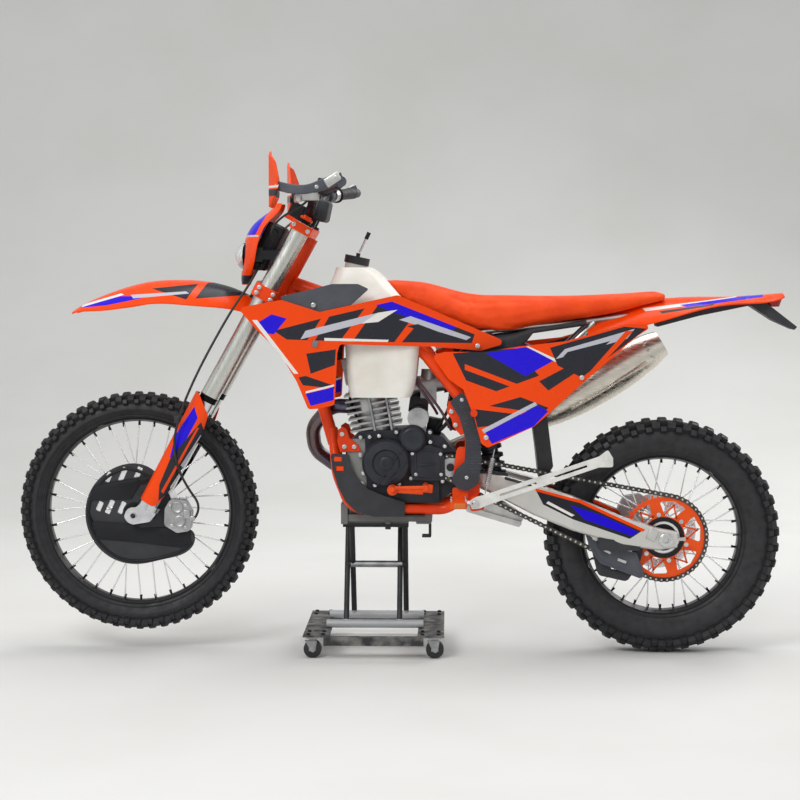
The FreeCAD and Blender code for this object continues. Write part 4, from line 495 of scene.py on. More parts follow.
def made(primitive, **settings):
    """A new piece from one of Blender's primitives, with its place put into its mesh."""
    bpy.ops.object.select_all(action="DESELECT")
    primitive(**settings)
    bpy.ops.object.transform_apply(location=True, rotation=True, scale=True)
    return bpy.context.active_object


def cube(size, at=AT_ORIGIN, turn=0.0):
    """A plain block; its size and its middle are in millimetres and it turns about its Y line."""
    bpy.ops.object.select_all(action="DESELECT")
    bpy.ops.mesh.primitive_cube_add(size=1, location=place(*at), rotation=(0, turn, 0))
    piece = bpy.context.active_object
    piece.scale = [s / 1000 for s in size]
    bpy.ops.object.transform_apply(location=True, rotation=True, scale=True)
    return piece


def press(shift):
    """Gives the chosen flat face of the piece being edited a thickness along Y."""
    bpy.ops.mesh.extrude_region_move(TRANSFORM_OT_translate={"value": (0, shift, 0)})
    bpy.ops.mesh.select_all(action="SELECT")
    bpy.ops.mesh.normals_make_consistent(inside=False)


def modify(piece, kind, **settings):
    """Adds a modifier to a piece, sets it and applies it."""
    choose_only(piece)
    change = piece.modifiers.new(kind, kind)
    for word, value in settings.items():
        setattr(change, word, value)
    bpy.ops.object.modifier_apply(modifier=kind)


def settle(piece, name, finish, body="chassis", smooth_angle=35, stands_for=None):
    """Names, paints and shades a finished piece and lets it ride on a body."""
    choose_only(piece)
    bpy.ops.object.transform_apply(location=True, rotation=True, scale=True)
    piece.name = name
    piece.data.name = name
    piece.data.materials.clear()
    piece.data.materials.append(finishes[finish].material)
    bpy.ops.object.shade_smooth_by_angle(angle=math.radians(smooth_angle))
    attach(piece, body)
    if stands_for:
        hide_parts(stands_for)
    return piece


def twin(piece, matrix=Matrix()):
    """A copy of a piece with a mesh of its own, moved by a matrix."""
    copy = piece.copy()
    copy.data = piece.data.copy()
    copy.data.transform(matrix)
    bpy.context.scene.collection.objects.link(copy)
    return copy


def from_cad(node):
    """A free copy of a CAD node, to become the piece that stands for it."""
    piece = twin(cad[node])
    piece.parent = None
    for key in list(piece.keys()):
        del piece[key]
    return piece


def joined(pieces):
    if len(pieces) > 1:
        choose_only(*pieces)
        bpy.ops.object.join()
    return pieces[0]


def copies(piece, matrices):
    """One mesh that holds the piece once for every matrix. The first piece is used up."""
    twins = [twin(piece, matrix) for matrix in matrices]
    bpy.data.objects.remove(piece)
    return joined(twins)


def cord_piece(name, points, radius, finish):
    """A round cord through layout points; its radius is in millimetres."""
    line = bpy.data.curves.new(name, "CURVE")
    line.dimensions = "3D"
    spline = line.splines.new("NURBS")
    spline.points.add(len(points) - 1)
    for point, spot in zip(spline.points, points):
        point.co = (*place(*spot), 1.0)
    spline.order_u = 3
    spline.use_endpoint_u = True
    spline.resolution_u = 12
    line.bevel_depth = radius / 1000
    line.bevel_resolution = 4
    line.use_fill_caps = True
    line.materials.append(finishes[finish].material)
    piece = bpy.data.objects.new(name, line)
    bpy.context.scene.collection.objects.link(piece)
    return piece


def cable(name, body, points, radius, finish="soft_rubber", stands_for=None):
    """A free cord on a body. Its length is a share of its points' run, since the curve cuts the corners."""
    line = cord_piece(name, points, radius, finish)
    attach(line, body)
    if stands_for:
        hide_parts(stands_for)


# Knobbed tyres: a spun carcass and moulded knobs, each pattern repeated round the wheel
KNOB_HEIGHT, KNOB_TAPER = 16.0, 0.84


def tyre_knob(size, at, lean):
    """A knob block with drafted sides and a broken edge, standing on the carcass."""
    knob = cube(size)
    choose_faces(knob, lambda face: face.normal.z > 0.9)
    with editing():
        bpy.ops.transform.resize(value=(KNOB_TAPER, KNOB_TAPER, 1))
        bpy.ops.mesh.bevel(offset=0.0012, segments=1)
    knob.data.transform(Matrix.Translation([v / 1000 for v in at])
                        @ Matrix.Rotation(math.radians(lean), 4, "X"))
    return knob


def knobbed_tyre(name, axle, radius, half_width, bead_radius, bead_half, rows, body, node):
    """A tyre about an axle. Its profile is (y, radius) points from bead to crown, mirrored."""
    base = radius - KNOB_HEIGHT
    profile = [(bead_half - 3, bead_radius), (bead_half + 1, bead_radius + 5),
               (bead_half + 4, bead_radius + 14),
               (half_width * 0.93, bead_radius + (base - bead_radius) * 0.45),
               (half_width * 0.93, base - half_width * 0.62), (half_width * 0.86, base - half_width * 0.38),
               (half_width * 0.64, base - half_width * 0.14), (half_width * 0.34, base - 2), (0, base)]
    profile += [(-y, r) for y, r in reversed(profile[:-1])]
    carcass = made(bpy.ops.mesh.primitive_circle_add, vertices=len(profile), radius=0.1)
    for vertex, (y, r) in zip(carcass.data.vertices, profile):
        vertex.co = (0, y / 1000, r / 1000)
    with editing("SELECT"):
        bpy.ops.mesh.spin(steps=96, angle=2 * math.pi, center=(0, 0, 0), axis=(0, 1, 0))
        bpy.ops.mesh.remove_doubles(threshold=0.0002)
        bpy.ops.mesh.normals_make_consistent(inside=False)
    pieces = [carcass]
    step = 2 * math.pi / rows
    across = half_width / 46.0
    middle_r = base + KNOB_HEIGHT / 2 - 1
    long = 0.56 * step * base
    # Each row of knobs: length, width, extra height, distance out, drop, lean and offset along the tread
    rings = ((long, 15, 2, 9, 0.0, -4, 0.0), (long, 15, 2, 25.5, -3.5, -18, 0.0),
             (long * 1.1, 19, 5, 37, -12.5 * across, -50, 0.5),
             (long * 0.8, 15, 2, 41.5, -19.0 * across, -66, 0.0))
    for length, width, extra, out, drop, lean, phase in rings:
        for side in (-1, 1):
            knob = tyre_knob((length, width * across, KNOB_HEIGHT + extra),
                             (0, side * out * across, middle_r + drop), side * lean)
            pieces.append(copies(knob, [Matrix.Rotation(step * (i + phase), 4, "Y") for i in range(rows)]))
    bead = made(bpy.ops.mesh.primitive_torus_add, major_radius=(bead_radius + 9) / 1000, minor_radius=0.0022,
                major_segments=96, minor_segments=6, rotation=(math.pi / 2, 0, 0))
    pieces.append(copies(bead, [Matrix.Translation((0, s * (bead_half + 2.5) / 1000, 0)) for s in (-1, 1)]))
    tyre = joined(pieces)
    tyre.data.transform(Matrix.Translation(axle))
    settle(tyre, name, "tyre_rubber", body, 40, node)


knobbed_tyre("front_knobbed_tyre", FRONT_AXLE, 346.5, 45.5, FRONT_RIM + 0.5, 26, 60, "front_wheel_body",
             "front_tyre")
knobbed_tyre("rear_knobbed_tyre", REAR_AXLE, 338.5, 55.5, REAR_RIM + 0.5, 33, 45, "rear_wheel_body",
             "rear_tyre")


# Drive chain, laid link by link round both sprockets
PITCH = 15.875 / 1000
LINKS = 112
REAR_TEETH, DRIVE_TEETH = 48, 13
CHAIN_PLANE = -0.073


def chain_route():
    """The pins' places: from the rear sprocket along the upper run, and back along the lower one."""
    rear_r, front_r = (PITCH / (2 * math.sin(math.pi / teeth)) for teeth in (REAR_TEETH, DRIVE_TEETH))
    span = REAR_AXLE - DRIVE_SHAFT
    forward = -span.normalized()
    above = Vector((-forward.z, 0, forward.x)) * (-1 if forward.x < 0 else 1)
    tilt = math.asin((rear_r - front_r) / span.length)
    run = span.length * math.cos(tilt) / PITCH
    front_wrap = (math.pi - 2 * tilt) / (2 * math.pi / DRIVE_TEETH)
    low = math.pi - tilt

    def at_rear(turn):
        return REAR_AXLE + above * (rear_r * math.cos(turn)) + forward * (rear_r * math.sin(turn))

    def at_front(turn):
        return DRIVE_SHAFT + above * (front_r * math.cos(turn)) + forward * (front_r * math.sin(turn))

    points = []
    for link in range(LINKS):
        past_upper = link - run
        past_front = past_upper - front_wrap
        if past_upper < 0:
            points.append(at_rear(tilt).lerp(at_front(tilt), link / run))
        elif past_front < 0:
            points.append(at_front(tilt + past_upper * 2 * math.pi / DRIVE_TEETH))
        elif past_front < run:
            points.append(at_front(low).lerp(at_rear(low), past_front / run))
        else:
            points.append(at_rear(low + (past_front - run) * 2 * math.pi / REAR_TEETH))
    return points


def link_plate(y, height, thickness=0.0017):
    """A waisted side plate: a ring of points over both pins, pressed to its thickness."""
    flank = made(bpy.ops.mesh.primitive_circle_add, vertices=16, radius=0.01, fill_type="NGON",
                 rotation=(math.pi / 2, 0, 0))
    for index, vertex in enumerate(flank.data.vertices):
        turn = 2 * math.pi * index / 16
        x, z = math.sin(turn), math.cos(turn)
        if abs(x) < 0.01:
            vertex.co = (0, 0, z * height * 0.36)
        else:
            vertex.co = (math.copysign(PITCH / 2, x) + x * height / 2 * 0.9, 0, z * height / 2)
    with editing("SELECT"):
        press(thickness)
    flank.data.transform(Matrix.Translation((0, y, 0)))
    return flank


def link_pins(radius, half_length):
    """Two short bars, one at each end of a link."""
    pins = []
    for x in (PITCH / 2, -PITCH / 2):
        pins.append(made(bpy.ops.mesh.primitive_cylinder_add, vertices=10, radius=radius,
                         depth=2 * half_length, location=(x, 0, 0), rotation=(math.pi / 2, 0, 0)))
        with editing("SELECT"):
            bpy.ops.mesh.bevel(offset=0.0005, segments=1)
    return pins


route = chain_route()
lay = ([], [])
for link, (start, stop) in enumerate(zip(route, route[1:] + route[:1])):
    along = stop - start
    lay[link % 2].append(Matrix.Translation((start + stop) / 2 + Vector((0, CHAIN_PLANE, 0)))
                         @ Matrix.Rotation(math.atan2(-along.z, along.x), 4, "Y"))
outer = joined([link_plate(0.0056, 0.0135), link_plate(-0.0073, 0.0135)])
inner = joined([link_plate(0.0036, 0.0145), link_plate(-0.0053, 0.0145), *link_pins(0.0048, 0.0034)])
settle(joined([copies(outer, lay[0]), copies(inner, lay[1])]), "roller_chain", "chain_steel",
       stands_for="chain")
settle(copies(joined(link_pins(0.0032, 0.0092)), lay[0]), "chain_pins", "steel_screw")


# Seat: the foam's own form, filled a little under a stretched vinyl cover
FILL_LIMIT = 0.004


def seat_cover():
    cover = from_cad("seat")
    choose_only(cover)
    with editing("SELECT"):
        bpy.ops.mesh.remove_doubles(threshold=0.00005)
    modify(cover, "REMESH", mode="VOXEL", voxel_size=0.005)
    modify(cover, "SMOOTH", factor=0.5, iterations=6)
    rest = [vertex.co.copy() for vertex in cover.data.vertices]
    cloth = cover.modifiers.new("CLOTH", "CLOTH")
    cloth.settings.use_pressure = True
    cloth.settings.uniform_pressure_force = 4.0
    cloth.settings.effector_weights.gravity = 0.0
    for step in range(1, 15):
        bpy.context.scene.frame_set(step)
    choose_only(cover)
    bpy.ops.object.modifier_apply(modifier="CLOTH")
    bpy.context.scene.frame_set(1)
    for vertex, before in zip(cover.data.vertices, rest):
        move = vertex.co - before
        if move.length > FILL_LIMIT:
            vertex.co = before + move.normalized() * FILL_LIMIT
    modify(cover, "SUBSURF", levels=1, render_levels=1)
    settle(cover, "seat_cover", "seat_vinyl", smooth_angle=60, stands_for="seat")


seat_cover()

# Front brake hose: from the clamps down in front of the left fork leg to the caliper
cable("front_brake_hose", "steering",
      [(-484, -64, 1128), (-512, -106, 1066), (-558, -124, 1000), (-604, -136, 920), (-652, -148, 830),
       (-690, -153, 748), (-718, -153, 674), (-730, -152, 604), (-718, -142, 536), (-690, -120, 476),
       (-664, -102, 436), (-672, -90, 398), (-683, -87, 389)], 3.5, stands_for="brake_hose")


# Fittings and trim that the solids leave out: helpers

bpy.context.tool_settings.mesh_select_mode = (False, False, True)


def rings_on(piece, rings):
    """Insets the faces that look along -Y: each ring is an inset and a lift, in millimetres."""
    choose_faces(piece, lambda face: face.normal.y < -0.95)
    with editing():
        for inset, lift in rings:
            bpy.ops.mesh.inset(thickness=inset / 1000, depth=lift / 1000)
    return piece


def block(size, at, bevel=1.2, turn=0.0, segments=2):
    """A cube() with broken edges."""
    piece = cube(size, at, turn)
    with editing("SELECT"):
        bpy.ops.mesh.bevel(offset=bevel / 1000, segments=segments)
    return piece


def boss(radius, depth, at=AT_ORIGIN, rings=(), vertices=32):
    """A round boss that stands out along -Y from a place, with rings on its face."""
    x, y, z = at
    piece = made(bpy.ops.mesh.primitive_cylinder_add, vertices=vertices, radius=radius / 1000,
                 depth=depth / 1000, location=place(x, y - depth / 2, z), rotation=(math.pi / 2, 0, 0))
    return rings_on(piece, rings) if rings else piece


def plate(outline, y, thickness, bevel=0.6, rings=()):
    """A flat piece cut to (x, z) layout points; its outer face is at y and it runs towards +Y."""
    piece = made(bpy.ops.mesh.primitive_circle_add, vertices=len(outline), radius=0.01, fill_type="NGON")
    for vertex, (x, z) in zip(piece.data.vertices, outline):
        vertex.co = place(x, y + bevel, z)
    with editing("SELECT"):
        press((thickness - bevel) / 1000)
    return rings_on(piece, ((bevel, bevel),) + tuple(rings))


def bar(points, radius, flat=0.0):
    """A bent bar through points, round, or an upright strip where flat is its extra half height."""
    piece = cord_piece("bar", points, radius, "steel_screw")
    piece.data.extrude = flat / 1000
    piece.data.twist_mode = "Z_UP"
    piece.data.bevel_resolution = 3
    choose_only(piece)
    bpy.ops.object.convert(target="MESH")
    return bpy.context.active_object


def both_sides(piece):
    """The piece and its mirror image on the other side."""
    mirrored = twin(piece, Matrix.Scale(-1, 4, (0, 1, 0)))
    mirrored.data.flip_normals()
    return joined([piece, mirrored])


def fork_spot(behind, y, up):
    """A place in the fork's own frame: behind it, across it and up along it."""
    return (-827.3 + UP_FORK[2] * behind + UP_FORK[0] * up, y, 390.4 - UP_FORK[0] * behind + UP_FORK[2] * up)


def fitting(name, finish, slot, *pieces, body="chassis"):
    """Joins pieces into one named fitting that rides on a body."""
    settle(joined(pieces), name, finish, body)


def screws(name, spots, radius=5.0, height=6.0, finish="steel_screw", side=-1, body="chassis"):
    """Flanged socket screws on (x, y, z) spots, looking along -Y, or along +Y on side 1."""
    screw = boss(radius, height * 0.35, rings=((radius * 0.2, 0), (0.01, height * 0.65),
                                               (radius * 0.16, radius * 0.08), (radius * 0.24, 0),
                                               (0.01, -height * 0.4)), vertices=12)
    turn = Matrix() if side < 0 else Matrix.Rotation(math.pi, 4, "Z")
    piece = copies(screw, [Matrix.Translation(place(*spot)) @ turn for spot in spots])
    settle(piece, name, finish, body, 30)


SIDES = ((-1, "left"), (1, "right"))
# The same, riding on the steering
steered = partial(fitting, body="steering")
steered_screws = partial(screws, body="steering")

# Hand guards, levers and the pad on the bar
band_route = [(-236, -414, 1348), (-284, -418, 1333), (-326, -415, 1314), (-372, -402, 1316),
              (-410, -370, 1326), (-430, -338, 1332)]
steered("hand_guard_bands", "band_grey", "black_plastic", both_sides(bar(band_route, 4.2, 8.5)))
steered("hand_guard_ends", "forged_alloy", "bare_steel",
        both_sides(block((44, 12, 26), (-262, -423, 1341), 4, math.radians(-32), 3)))
for side, word in SIDES:
    steered_screws("hand_guard_screws_" + word, [(-252, side * 428.5, 1347), (-304, side * 420, 1322),
                                                 (-414, side * 373, 1328)], 5.5, 5, side=side)
lever_route = [(-322, -238, 1308), (-368, -252, 1298), (-371, -290, 1294), (-362, -340, 1293),
               (-356, -384, 1294)]
steered("lever_blades", "forged_alloy", "bare_steel", both_sides(bar(lever_route, 5.5, 5.5)))
steered("bar_pad", "soft_pad", "black_plastic",
        block((46, 168, 62), (-318, 0, 1270), 10, math.radians(12), 4))
steered("switch_blocks", "bar_paint", "black_plastic",
        both_sides(block((34, 20, 42), (-318, -216, 1318), 5, 0.25, 3)),
        both_sides(block((30, 34, 20), (-300, -222, 1342), 4, 0.25, 3)))

# Head lamp lens, the black housing behind the mask, clamp screws and fork caps
bpy.ops.object.select_all(action="DESELECT")
bpy.ops.mesh.primitive_uv_sphere_add(segments=32, ring_count=20, radius=1, location=place(-536, 0, 1139))
lens = bpy.context.active_object
lens.scale = (0.031, 0.062, 0.040)
bpy.ops.object.transform_apply(location=True, rotation=True, scale=True)
choose_faces(lens, lambda face: face.center.x > place(-540, 0, 0).x)
with editing():
    bpy.ops.mesh.delete(type="FACE")
    bpy.ops.mesh.select_all(action="SELECT")
    bpy.ops.mesh.extrude_region_shrink_fatten(TRANSFORM_OT_shrink_fatten={"value": -0.002})
steered("head_lamp_lens", "clear_lens", "lamp_lens", lens)
steered("head_lamp_housing", "lamp_paint", "black_plastic",
        rings_on(block((54, 148, 136), (-470, 0, 1168), 9, math.radians(27), 3), ((9, 0), (3, -3))))
steered_screws("housing_screws", [(-462, -71, 1200), (-478, -71, 1150)], 6, 4, "lamp_paint")
for side, word in SIDES:
    steered_screws("clamp_screws_" + word, [fork_spot(behind, side * 140.5, up) for up in (947, 728, 745)
                                            for behind in (-22, 22)], 6.5, 8, side=side)
cap = boss(19, 6, AT_ORIGIN, ((2, 1.5), (5, 0), (0.01, 4), (2, 1), (3, 0), (0.01, -3)), 24)
upright = Matrix.Rotation(math.radians(29), 4, "Y") @ Matrix.Rotation(-math.pi / 2, 4, "X")
steered("fork_caps", "orange_mark", "orange_plastic",
        copies(cap, [Matrix.Translation(place(*fork_spot(0, s * 105, 972))) @ upright for s in (-1, 1)]))

# Disc cover: the plate with its slots open, under raised bands
disc_plate = from_cad("disc_cover")
slots = joined([block((15, 60, height), (x, -80, z), 3, math.radians(24))
                for x, z, height in ((-927, 508, 32), (-886, 516, 44), (-842, 520, 38), (-954, 424, 30),
                                     (-924, 423, 42), (-890, 420, 38))])
modify(disc_plate, "BOOLEAN", operation="DIFFERENCE", solver="EXACT", object=slots)
bpy.data.objects.remove(slots)
settle(disc_plate, "front_disc_cover", "black_plastic", "steering", 30, "disc_cover")
cover_face = min(v.co.y for v in disc_plate.data.vertices) * 1000
rim_points = [(-770, 486), (-850, 542), (-928, 518), (-980, 453), (-988, 390), (-963, 322), (-903, 273),
              (-840, 264), (-770, 278), (-712, 297), (-689, 322)]
steered("disc_cover_bands", "lamp_paint", "black_plastic",
        plate([(-978, 470), (-966, 486), (-824, 512), (-796, 516), (-790, 496), (-836, 488), (-862, 446),
               (-976, 440)], cover_face - 3, 4, 1.2, ((4, 0), (2, 1))),
        plate([(-982, 402), (-972, 382), (-868, 376), (-836, 362), (-728, 366), (-696, 352), (-690, 322),
               (-722, 306), (-860, 322), (-962, 330)], cover_face - 3, 4, 1.2, ((4, 0), (2, 1))),
        bar([(x, cover_face + 1, z) for x, z in rim_points], 4.5))
steered_screws("disc_cover_screws", [(-775, cover_face - 3, 340), (-842, cover_face - 3, 500)], 6, 3,
               "lamp_paint")

# Front brake: caliper with pistons and banjo, hose clip
steered("front_caliper_bosses", "cast_alloy", "alloy",
        boss(17, 7, (-728, -94, 424), ((3, 2), (4, -2)), 24),
        boss(17, 7, (-722, -94, 384), ((3, 2), (4, -2)), 24),
        block((20, 12, 26), (-700, -98, 404), 3), boss(8, 12, (-684, -92, 392), ((2, 1),), 12))
steered_screws("front_caliper_screws", [(-748, -96, 430), (-744, -96, 372), (-704, -96, 430),
                                        (-704, -96, 366)], 5, 6)
steered("hose_clip", "black_plastic", "black_plastic", block((16, 12, 22), (-719, -150, 680), 3))

# Engine: cover faces, screws on the case's edge, mount plates and studs
stator = [boss(19, 5, (-130, -111, 553), ((3, 1.5), (7, 0), (0.01, -4)), 32)]
for turn, length, dx, dz in ((38, 58, 30, 20), (46, 66, 36, -16), (52, 58, 22, -42), (34, 40, -14, -46)):
    stator.append(block((3, 6, length), (-130 + dx, -115, 553 + dz), 1, math.radians(turn)))
sprocket_face = plate([(-52, 588), (-8, 594), (22, 588), (31, 558), (32, 512), (-8, 509), (-48, 513)],
                      -93.5, 2.5, 0.8, ((5, 0), (1.5, -1.6)))
fitting("engine_cover_ribs", "engine_paint", "black_metal", *stator, sprocket_face,
        boss(31, 3, (-55, -104, 622), ((3, 1.5), (4, -1)), 32),
        block((44, 4, 5), (-16, -94, 548), 1.2, math.radians(-8)))
fitting("shift_lever_ends", "sprocket", "orange_metal",
        boss(15, 30, (-112, -96, 478), ((3, 1.5), (4, 0), (0.01, -6)), 24),
        block((30, 14, 24), (-12, -112, 482), 4, 0.1, 3),
        block((76, 8, 15), (-62, -113, 474), 3, 0.06, 3))
fitting("intake_boots", "soft_rubber", "black_rubber",
        bar([(-66, -6, 720), (-36, -6, 716), (-14, -4, 716)], 27),
        bar([(52, -2, 716), (82, 0, 722), (116, 0, 744), (146, 0, 776)], 30))
fitting("engine_electrics", "lamp_paint", "black_plastic",
        block((44, 60, 46), (6, 22, 650), 4, 0.2), block((30, 40, 60), (66, 26, 668), 4, 0.35),
        bar([(20, -30, 640), (52, -34, 668), (70, -30, 720), (84, -18, 782)], 6),
        bar([(8, -26, 644), (36, -30, 676), (54, -26, 728), (64, -16, 790)], 4.5),
        bar([(-206, -18, 660), (-232, -30, 700), (-240, -34, 760), (-226, -30, 812)], 4))
edge = [(-204, 625), (-178, 626), (-151, 629), (-5, 612), (36, 600), (-204, 574), (-196, 522), (-200, 492),
        (-163, 488), (-94, 491), (-102, 640), (-6, 640), (-60, 508), (30, 500)]
fitting("case_screw_lugs", "case_paint", "black_metal",
        copies(boss(8.5, 12, AT_ORIGIN, ((1.5, 0.8),), 14),
               [Matrix.Translation(place(x, -75, z)) for x, z in edge]))
screws("case_screws", [(x, -87, z) for x, z in edge], 5.2, 5)
screws("sprocket_cover_screws", [(-56, -94, 580), (24, -93, 578), (26, -93, 520), (-46, -93, 520)], 5, 5)
mount = plate([(-268, 646), (-256, 654), (-244, 648), (-236, 623), (-211, 603), (-202, 584), (-262, 581),
               (-271, 612)], -82, 6, 1.2)
rear_mount = plate([(46, 730), (41, 701), (55, 680), (59, 658), (81, 634), (98, 640), (92, 700), (72, 736)],
                   -118, 6, 1.2)
fitting("engine_mount_plates", "frame_coat", "orange_metal", both_sides(mount), both_sides(rear_mount))
screws("mount_screws", [(-257, -82, 634), (-250, -82, 598), (-222, -82, 598), (54, -118, 702),
                        (66, -118, 664)], 6.5, 7)
fitting("cylinder_studs", "cast_alloy", "alloy",
        bar([(-186, -70, 760), (-160, -70, 626)], 4.5), bar([(-138, -70, 770), (-112, -70, 632)], 4.5),
        block((28, 5, 36), (-190, -68, 716), 2, math.radians(-11)))

# Frame: guard scales, side stand pivot, marks of the skid plate, panel and shroud screws
scales = [block((17, 3, 2.6), (x + side * 11, -134.5, z), 0.8, 0.15, 1)
          for x, z in ((94, 716), (100, 700), (105, 684), (110, 668), (114, 652), (117, 636), (120, 620),
                       (122, 604), (123, 588), (123, 572), (122, 556), (120, 541)) for side in (-1, 1)]
fitting("frame_guard_scales", "band_grey", "black_plastic", *scales)
screws("side_stand_pivot_screw", [(122, -175, 446)], 11, 6)
fitting("skid_plate_marks", "orange_mark", "orange_plastic",
        *[block((21, 3, 13), (x, -98, z), 1.2) for x, z in ((-267.5, 563.5), (-262, 536.5))])
screws("panel_screws_left", [(152, -162.5, 632), (-330, -191, 1004), (128, -128, 888),
                              (420, -148, 800)], 7, 5)
screws("panel_screws_right", [(152, 162.5, 632), (-330, 191, 1004), (128, 128, 888)], 7, 5, side=1)
screws("frame_guard_screws", [(98, -134, 516), (84, -134, 736)], 5.5, 4)

# Muffler: the rivets of the end cap and the pressed rib along the sleeve
def muffler_spot(along, up, y=156.0):
    """A place along the muffler's line, from its front end, and above that line."""
    return (300 + 0.85209 * along - 0.52340 * up, y, 656 + 0.52340 * along + 0.85209 * up)


fitting("muffler_rib", "muffler", "alloy",
        bar([muffler_spot(110, -26, 112), muffler_spot(240, -30, 108), muffler_spot(262, -24, 108),
             muffler_spot(372, -26, 110)], 3.0))
fitting("muffler_rivets", "steel_screw", "bare_steel",
        *[boss(4, 2, muffler_spot(395, up, 113), ((1, 0.6),), 10) for up in (-22, 4, 30)])


# Foot pegs with their teeth, and the amber reflector
tooth = block((5, 7, 9), AT_ORIGIN, 1.6)
fitting("peg_teeth", "bright_steel", "bare_steel",
        copies(tooth, [Matrix.Translation(place(x, s * (156 + 12 * i), 461))
                       for x in (55, 95) for i in range(7) for s in (-1, 1)]))
fitting("peg_reflector", "amber", "red_lens", block((34, 8, 15), (78, -236, 448), 2.5))

# Side stand: its spring, a row of coils between two straight ends
SPRING_TOP, SPRING_FOOT = Vector((176, -166, 600)), Vector((150, -164, 474))
COILS = 16


def along_spring(share):
    return tuple(SPRING_FOOT.lerp(SPRING_TOP, share))


coil = made(bpy.ops.mesh.primitive_torus_add, major_radius=0.0062, minor_radius=0.0017, major_segments=14,
            minor_segments=6)
lean = (SPRING_TOP - SPRING_FOOT).to_track_quat("Z", "Y").to_matrix().to_4x4()
fitting("side_stand_spring", "bright_steel", "bare_steel",
        copies(coil, [Matrix.Translation(place(*along_spring(0.22 + 0.56 * i / (COILS - 1)))) @ lean
                      for i in range(COILS)]),
        bar([along_spring(0), along_spring(0.24)], 1.7), bar([along_spring(0.76), along_spring(1)], 1.7))

# Rear wheel and swingarm: axle nuts, adjusters, chain slider and sprocket screws
nut = boss(20, 9, AT_ORIGIN, ((2, 1.5), (9, 0), (0.01, -7)), 24)
left_nut = Matrix.Translation(place(661, -128, 339))
right_nut = Matrix.Translation(place(661, 128, 339)) @ Matrix.Rotation(math.pi, 4, "Z")
fitting("rear_axle_nuts", "steel_screw", "bare_steel", copies(nut, [left_nut, right_nut]))
fitting("axle_adjusters", "forged_alloy", "bare_steel",
        both_sides(block((28, 6, 34), (624, -128, 354), 3, 0.42, 3)),
        both_sides(block((26, 10, 10), (706, -112, 340), 2)))
fitting("chain_slider", "black_plastic", "black_plastic",
        block((120, 34, 8), (158, -60, 524), 3, math.radians(8)),
        block((90, 34, 7), (250, -80, 498), 3, math.radians(15)))
fitting("swingarm_lugs", "forged_alloy", "bare_steel",
        plate([(438, 388), (450, 352), (456, 338), (466, 332), (476, 338), (484, 354), (496, 372)],
              -112, 8, 1.5),
        plate([(536, 352), (546, 322), (554, 306), (566, 303), (576, 312), (584, 330), (596, 340)],
              -112, 8, 1.5),
        boss(8, 3, (465, -112, 346), ((2, 1),), 16), boss(8, 3, (563, -112, 318), ((2, 1),), 16))
fitting("chain_guide_shell", "band_grey", "black_plastic",
        plate([(430, 372), (452, 344), (474, 338), (496, 352), (540, 340), (556, 306), (582, 300), (606, 232),
               (590, 226), (478, 268), (448, 312)], -104, 5, 1.5, ((5, 0), (2, -1.5))))
fitting("chain_guide_slots", "forged_alloy", "alloy",
        block((22, 2, 7), (498, -106, 303), 0.8, 0.5), block((26, 2, 8), (540, -106, 276), 0.8, 0.35))
struts = []
for index in range(6):
    middle = math.radians(73 + 60 * index)
    for lean, shift in ((0.5, -0.11), (-0.5, 0.11)):
        spot = (661 + 81 * math.cos(middle + shift), -73.5, 339 + 81 * math.sin(middle + shift))
        struts.append(block((44, 4.5, 5), spot, 0.8, -(middle + lean)))
fitting("sprocket_struts", "sprocket", "orange_metal", *struts, body="rear_wheel_body")
screws("sprocket_screws",
       [(661 + 67 * math.cos(math.radians(60 * i + 43)), -77, 339 + 67 * math.sin(math.radians(60 * i + 43)))
        for i in range(6)], 6.5, 3, body="rear_wheel_body")

# Wire wheels: nipples where the spokes meet the rims
SPOKES = 36
for word, axle, rim, out in (("front", FRONT_AXLE, FRONT_RIM, 5.2), ("rear", REAR_AXLE, REAR_RIM, 6.6)):
    nipple = made(bpy.ops.mesh.primitive_cone_add, vertices=8, radius1=0.0042, radius2=0.003, depth=0.013,
                  location=(0, 0, (rim - 15) / 1000))
    turns = [Matrix.Translation(axle + Vector((0, (out if i % 2 else -out) / 1000, 0)))
             @ Matrix.Rotation(math.pi / 2 - 2 * math.pi * i / SPOKES, 4, "Y") for i in range(SPOKES)]
    fitting(word + "_spoke_nipples", "lamp_paint", "black_plastic", copies(nipple, turns),
            body=word + "_wheel_body")

# Work dolly: plate screws, lift hook and tab
deck = [(x, y, 68) for x in (-350, -308, -26, 20) for y in (-146, -100, 180, 226)]
dome = boss(6, 3, AT_ORIGIN, ((1.5, 1.5), (1.5, 0.6)), 12)
fitting("dolly_screws", "lamp_paint", "black_plastic",
        copies(dome, [Matrix.Translation(place(*spot)) @ Matrix.Rotation(-math.pi / 2, 4, "X")
                      for spot in deck]))
wheels, forks = [], []
for x, y in ((-339, -130), (9, -130), (-339, 210), (9, 210)):
    wheels.append(boss(25.4, 22, (x, y + 11, 25), ((4, 0), (2, 0.8)), 32))
    forks.append(plate([(x - 22, 52), (x + 14, 52), (x + 9, 22), (x + 3, 16), (x - 4, 18), (x - 10, 30)],
                       y - 17, 3, 1))
fitting("caster_treads", "caster", "black_rubber", *wheels)
fitting("caster_forks", "zinc", "stand_zinc", *forks)
fitting("lift_rung", "zinc", "stand_zinc", bar([(-238, 40, 242.2), (-88, 40, 242.2)], 10))
fitting("lift_hook", "stand_paint", "black_metal", block((44, 26, 8), (-24, -38, 376), 2),
        block((8, 26, 40), (-6, -38, 356), 2), block((26, 26, 8), (-16, -38, 337), 2),
        block((16, 8, 26), (-127, -48, 369), 2))

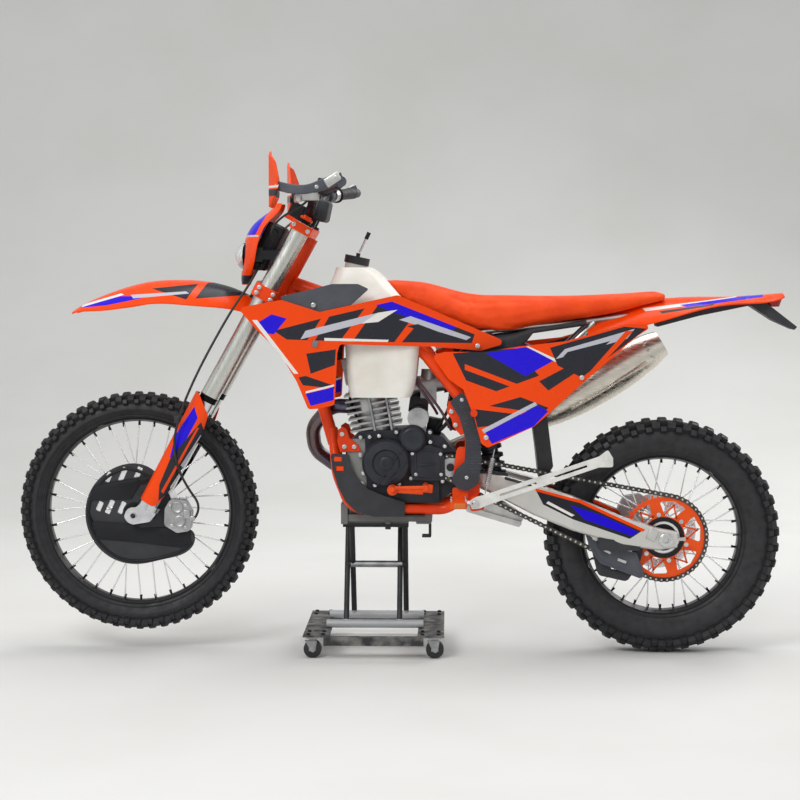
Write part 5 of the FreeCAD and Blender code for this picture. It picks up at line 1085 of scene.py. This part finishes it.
# Cables beside the steering, and the hoses of the tank and the carburettor
for name, side in (("clutch_cable", -1), ("brake_line", 1)):
    cable(name, "steering", [(-336, side * 250, 1299), (-344, side * 252, 1284), (-388, side * 240, 1262),
                             (-430, side * 206, 1236), (-452, side * 160, 1206),
                             (-454, side * 112, 1180)], 3.2)
cable("fuel_hose", "chassis", [(-64, -92, 812), (-46, -104, 782), (-16, -104, 742), (8, -84, 706),
                               (14, -44, 690)], 4.0, "breather_hose")
cable("carburettor_breather", "chassis", [(-52, -96, 806), (-28, -110, 772), (8, -112, 728), (40, -98, 680),
                                          (54, -80, 646)], 4.0, "breather_hose")
fitting("tank_vent", "steel_screw", "bare_steel", bar([(-210, 0, 1150), (-190, 0, 1192)], 3.4))
fitting("tank_vent_valve", "lamp_paint", "black_plastic", bar([(-191, 0, 1189), (-182, 0, 1208)], 6))


# Floor, light and camera
WALL_HEIGHT, WALL_CURVE = 14, 4.5


def choose_edges(piece, test):
    with editing("DESELECT"):
        pass
    for edge in piece.data.edges:
        edge.select = all(test(piece.data.vertices[vertex].co) for vertex in edge.vertices)


def stage_floor():
    """A seamless backdrop: a floor that curves up into a wall far behind."""
    floor = made(bpy.ops.mesh.primitive_plane_add, size=30, location=(0, -7.5, -0.0005))
    floor.name = "studio_backdrop"
    bpy.context.tool_settings.mesh_select_mode = (False, True, False)
    choose_edges(floor, lambda spot: spot.y > 5)
    with editing():
        bpy.ops.mesh.extrude_region_move(TRANSFORM_OT_translate={"value": (0, 0, WALL_HEIGHT)})
    choose_edges(floor, lambda spot: spot.y > 5 and spot.z < 1)
    with editing():
        bpy.ops.mesh.bevel(offset=WALL_CURVE, segments=24)
    bpy.ops.object.shade_smooth()
    paper = Skin("pale_studio_paper", "#E4E4E2", 0.9, Specular_IOR_Level=0.1).vary("#E5E5E3", "#DFDFDC", 900)
    floor.data.materials.append(paper.material)


def studio_light():
    world = bpy.data.worlds.new("studio")
    bpy.context.scene.world = world
    world.use_nodes = True
    tree = world.node_tree
    background = tree.nodes["Background"]
    background.inputs["Color"].default_value = (1, 1, 1, 1)
    path = add(tree, "ShaderNodeLightPath")
    strength = add(tree, "ShaderNodeMapRange", i0=path.outputs["Is Glossy Ray"], i3=0.5, i4=0.8).outputs[0]
    tree.links.new(strength, background.inputs["Strength"])
    for name, spot, size, power in (("key", (-2.6, -4.2, 4.6), 2.6, 150), ("top", (0.6, 0.4, 5.2), 3.6, 105),
                                    ("rear", (3.2, 3.6, 3.4), 3.0, 80)):
        lamp = bpy.data.lights.new(name + "_lamp", "AREA")
        lamp.shape, lamp.size, lamp.energy = "DISK", size, power
        holder = bpy.data.objects.new(name + "_lamp", lamp)
        bpy.context.scene.collection.objects.link(holder)
        holder.location = spot
        holder.rotation_euler = (Vector((0, 0, 0.6)) - Vector(spot)).to_track_quat("-Z", "Y").to_euler()


def photo_camera():
    lens = bpy.data.cameras.new("camera")
    lens.sensor_width = 36
    lens.lens = 87.5
    camera = bpy.data.objects.new("camera", lens)
    bpy.context.scene.collection.objects.link(camera)
    camera.location = (0.1299, -5.6, 1.115)
    target = Vector((-0.0141, 0, 0.7258))
    camera.rotation_euler = (target - camera.location).to_track_quat("-Z", "Y").to_euler()
    bpy.context.scene.camera = camera


stage_floor()
studio_light()
photo_camera()
bpy.context.scene.view_settings.view_transform = "Standard"
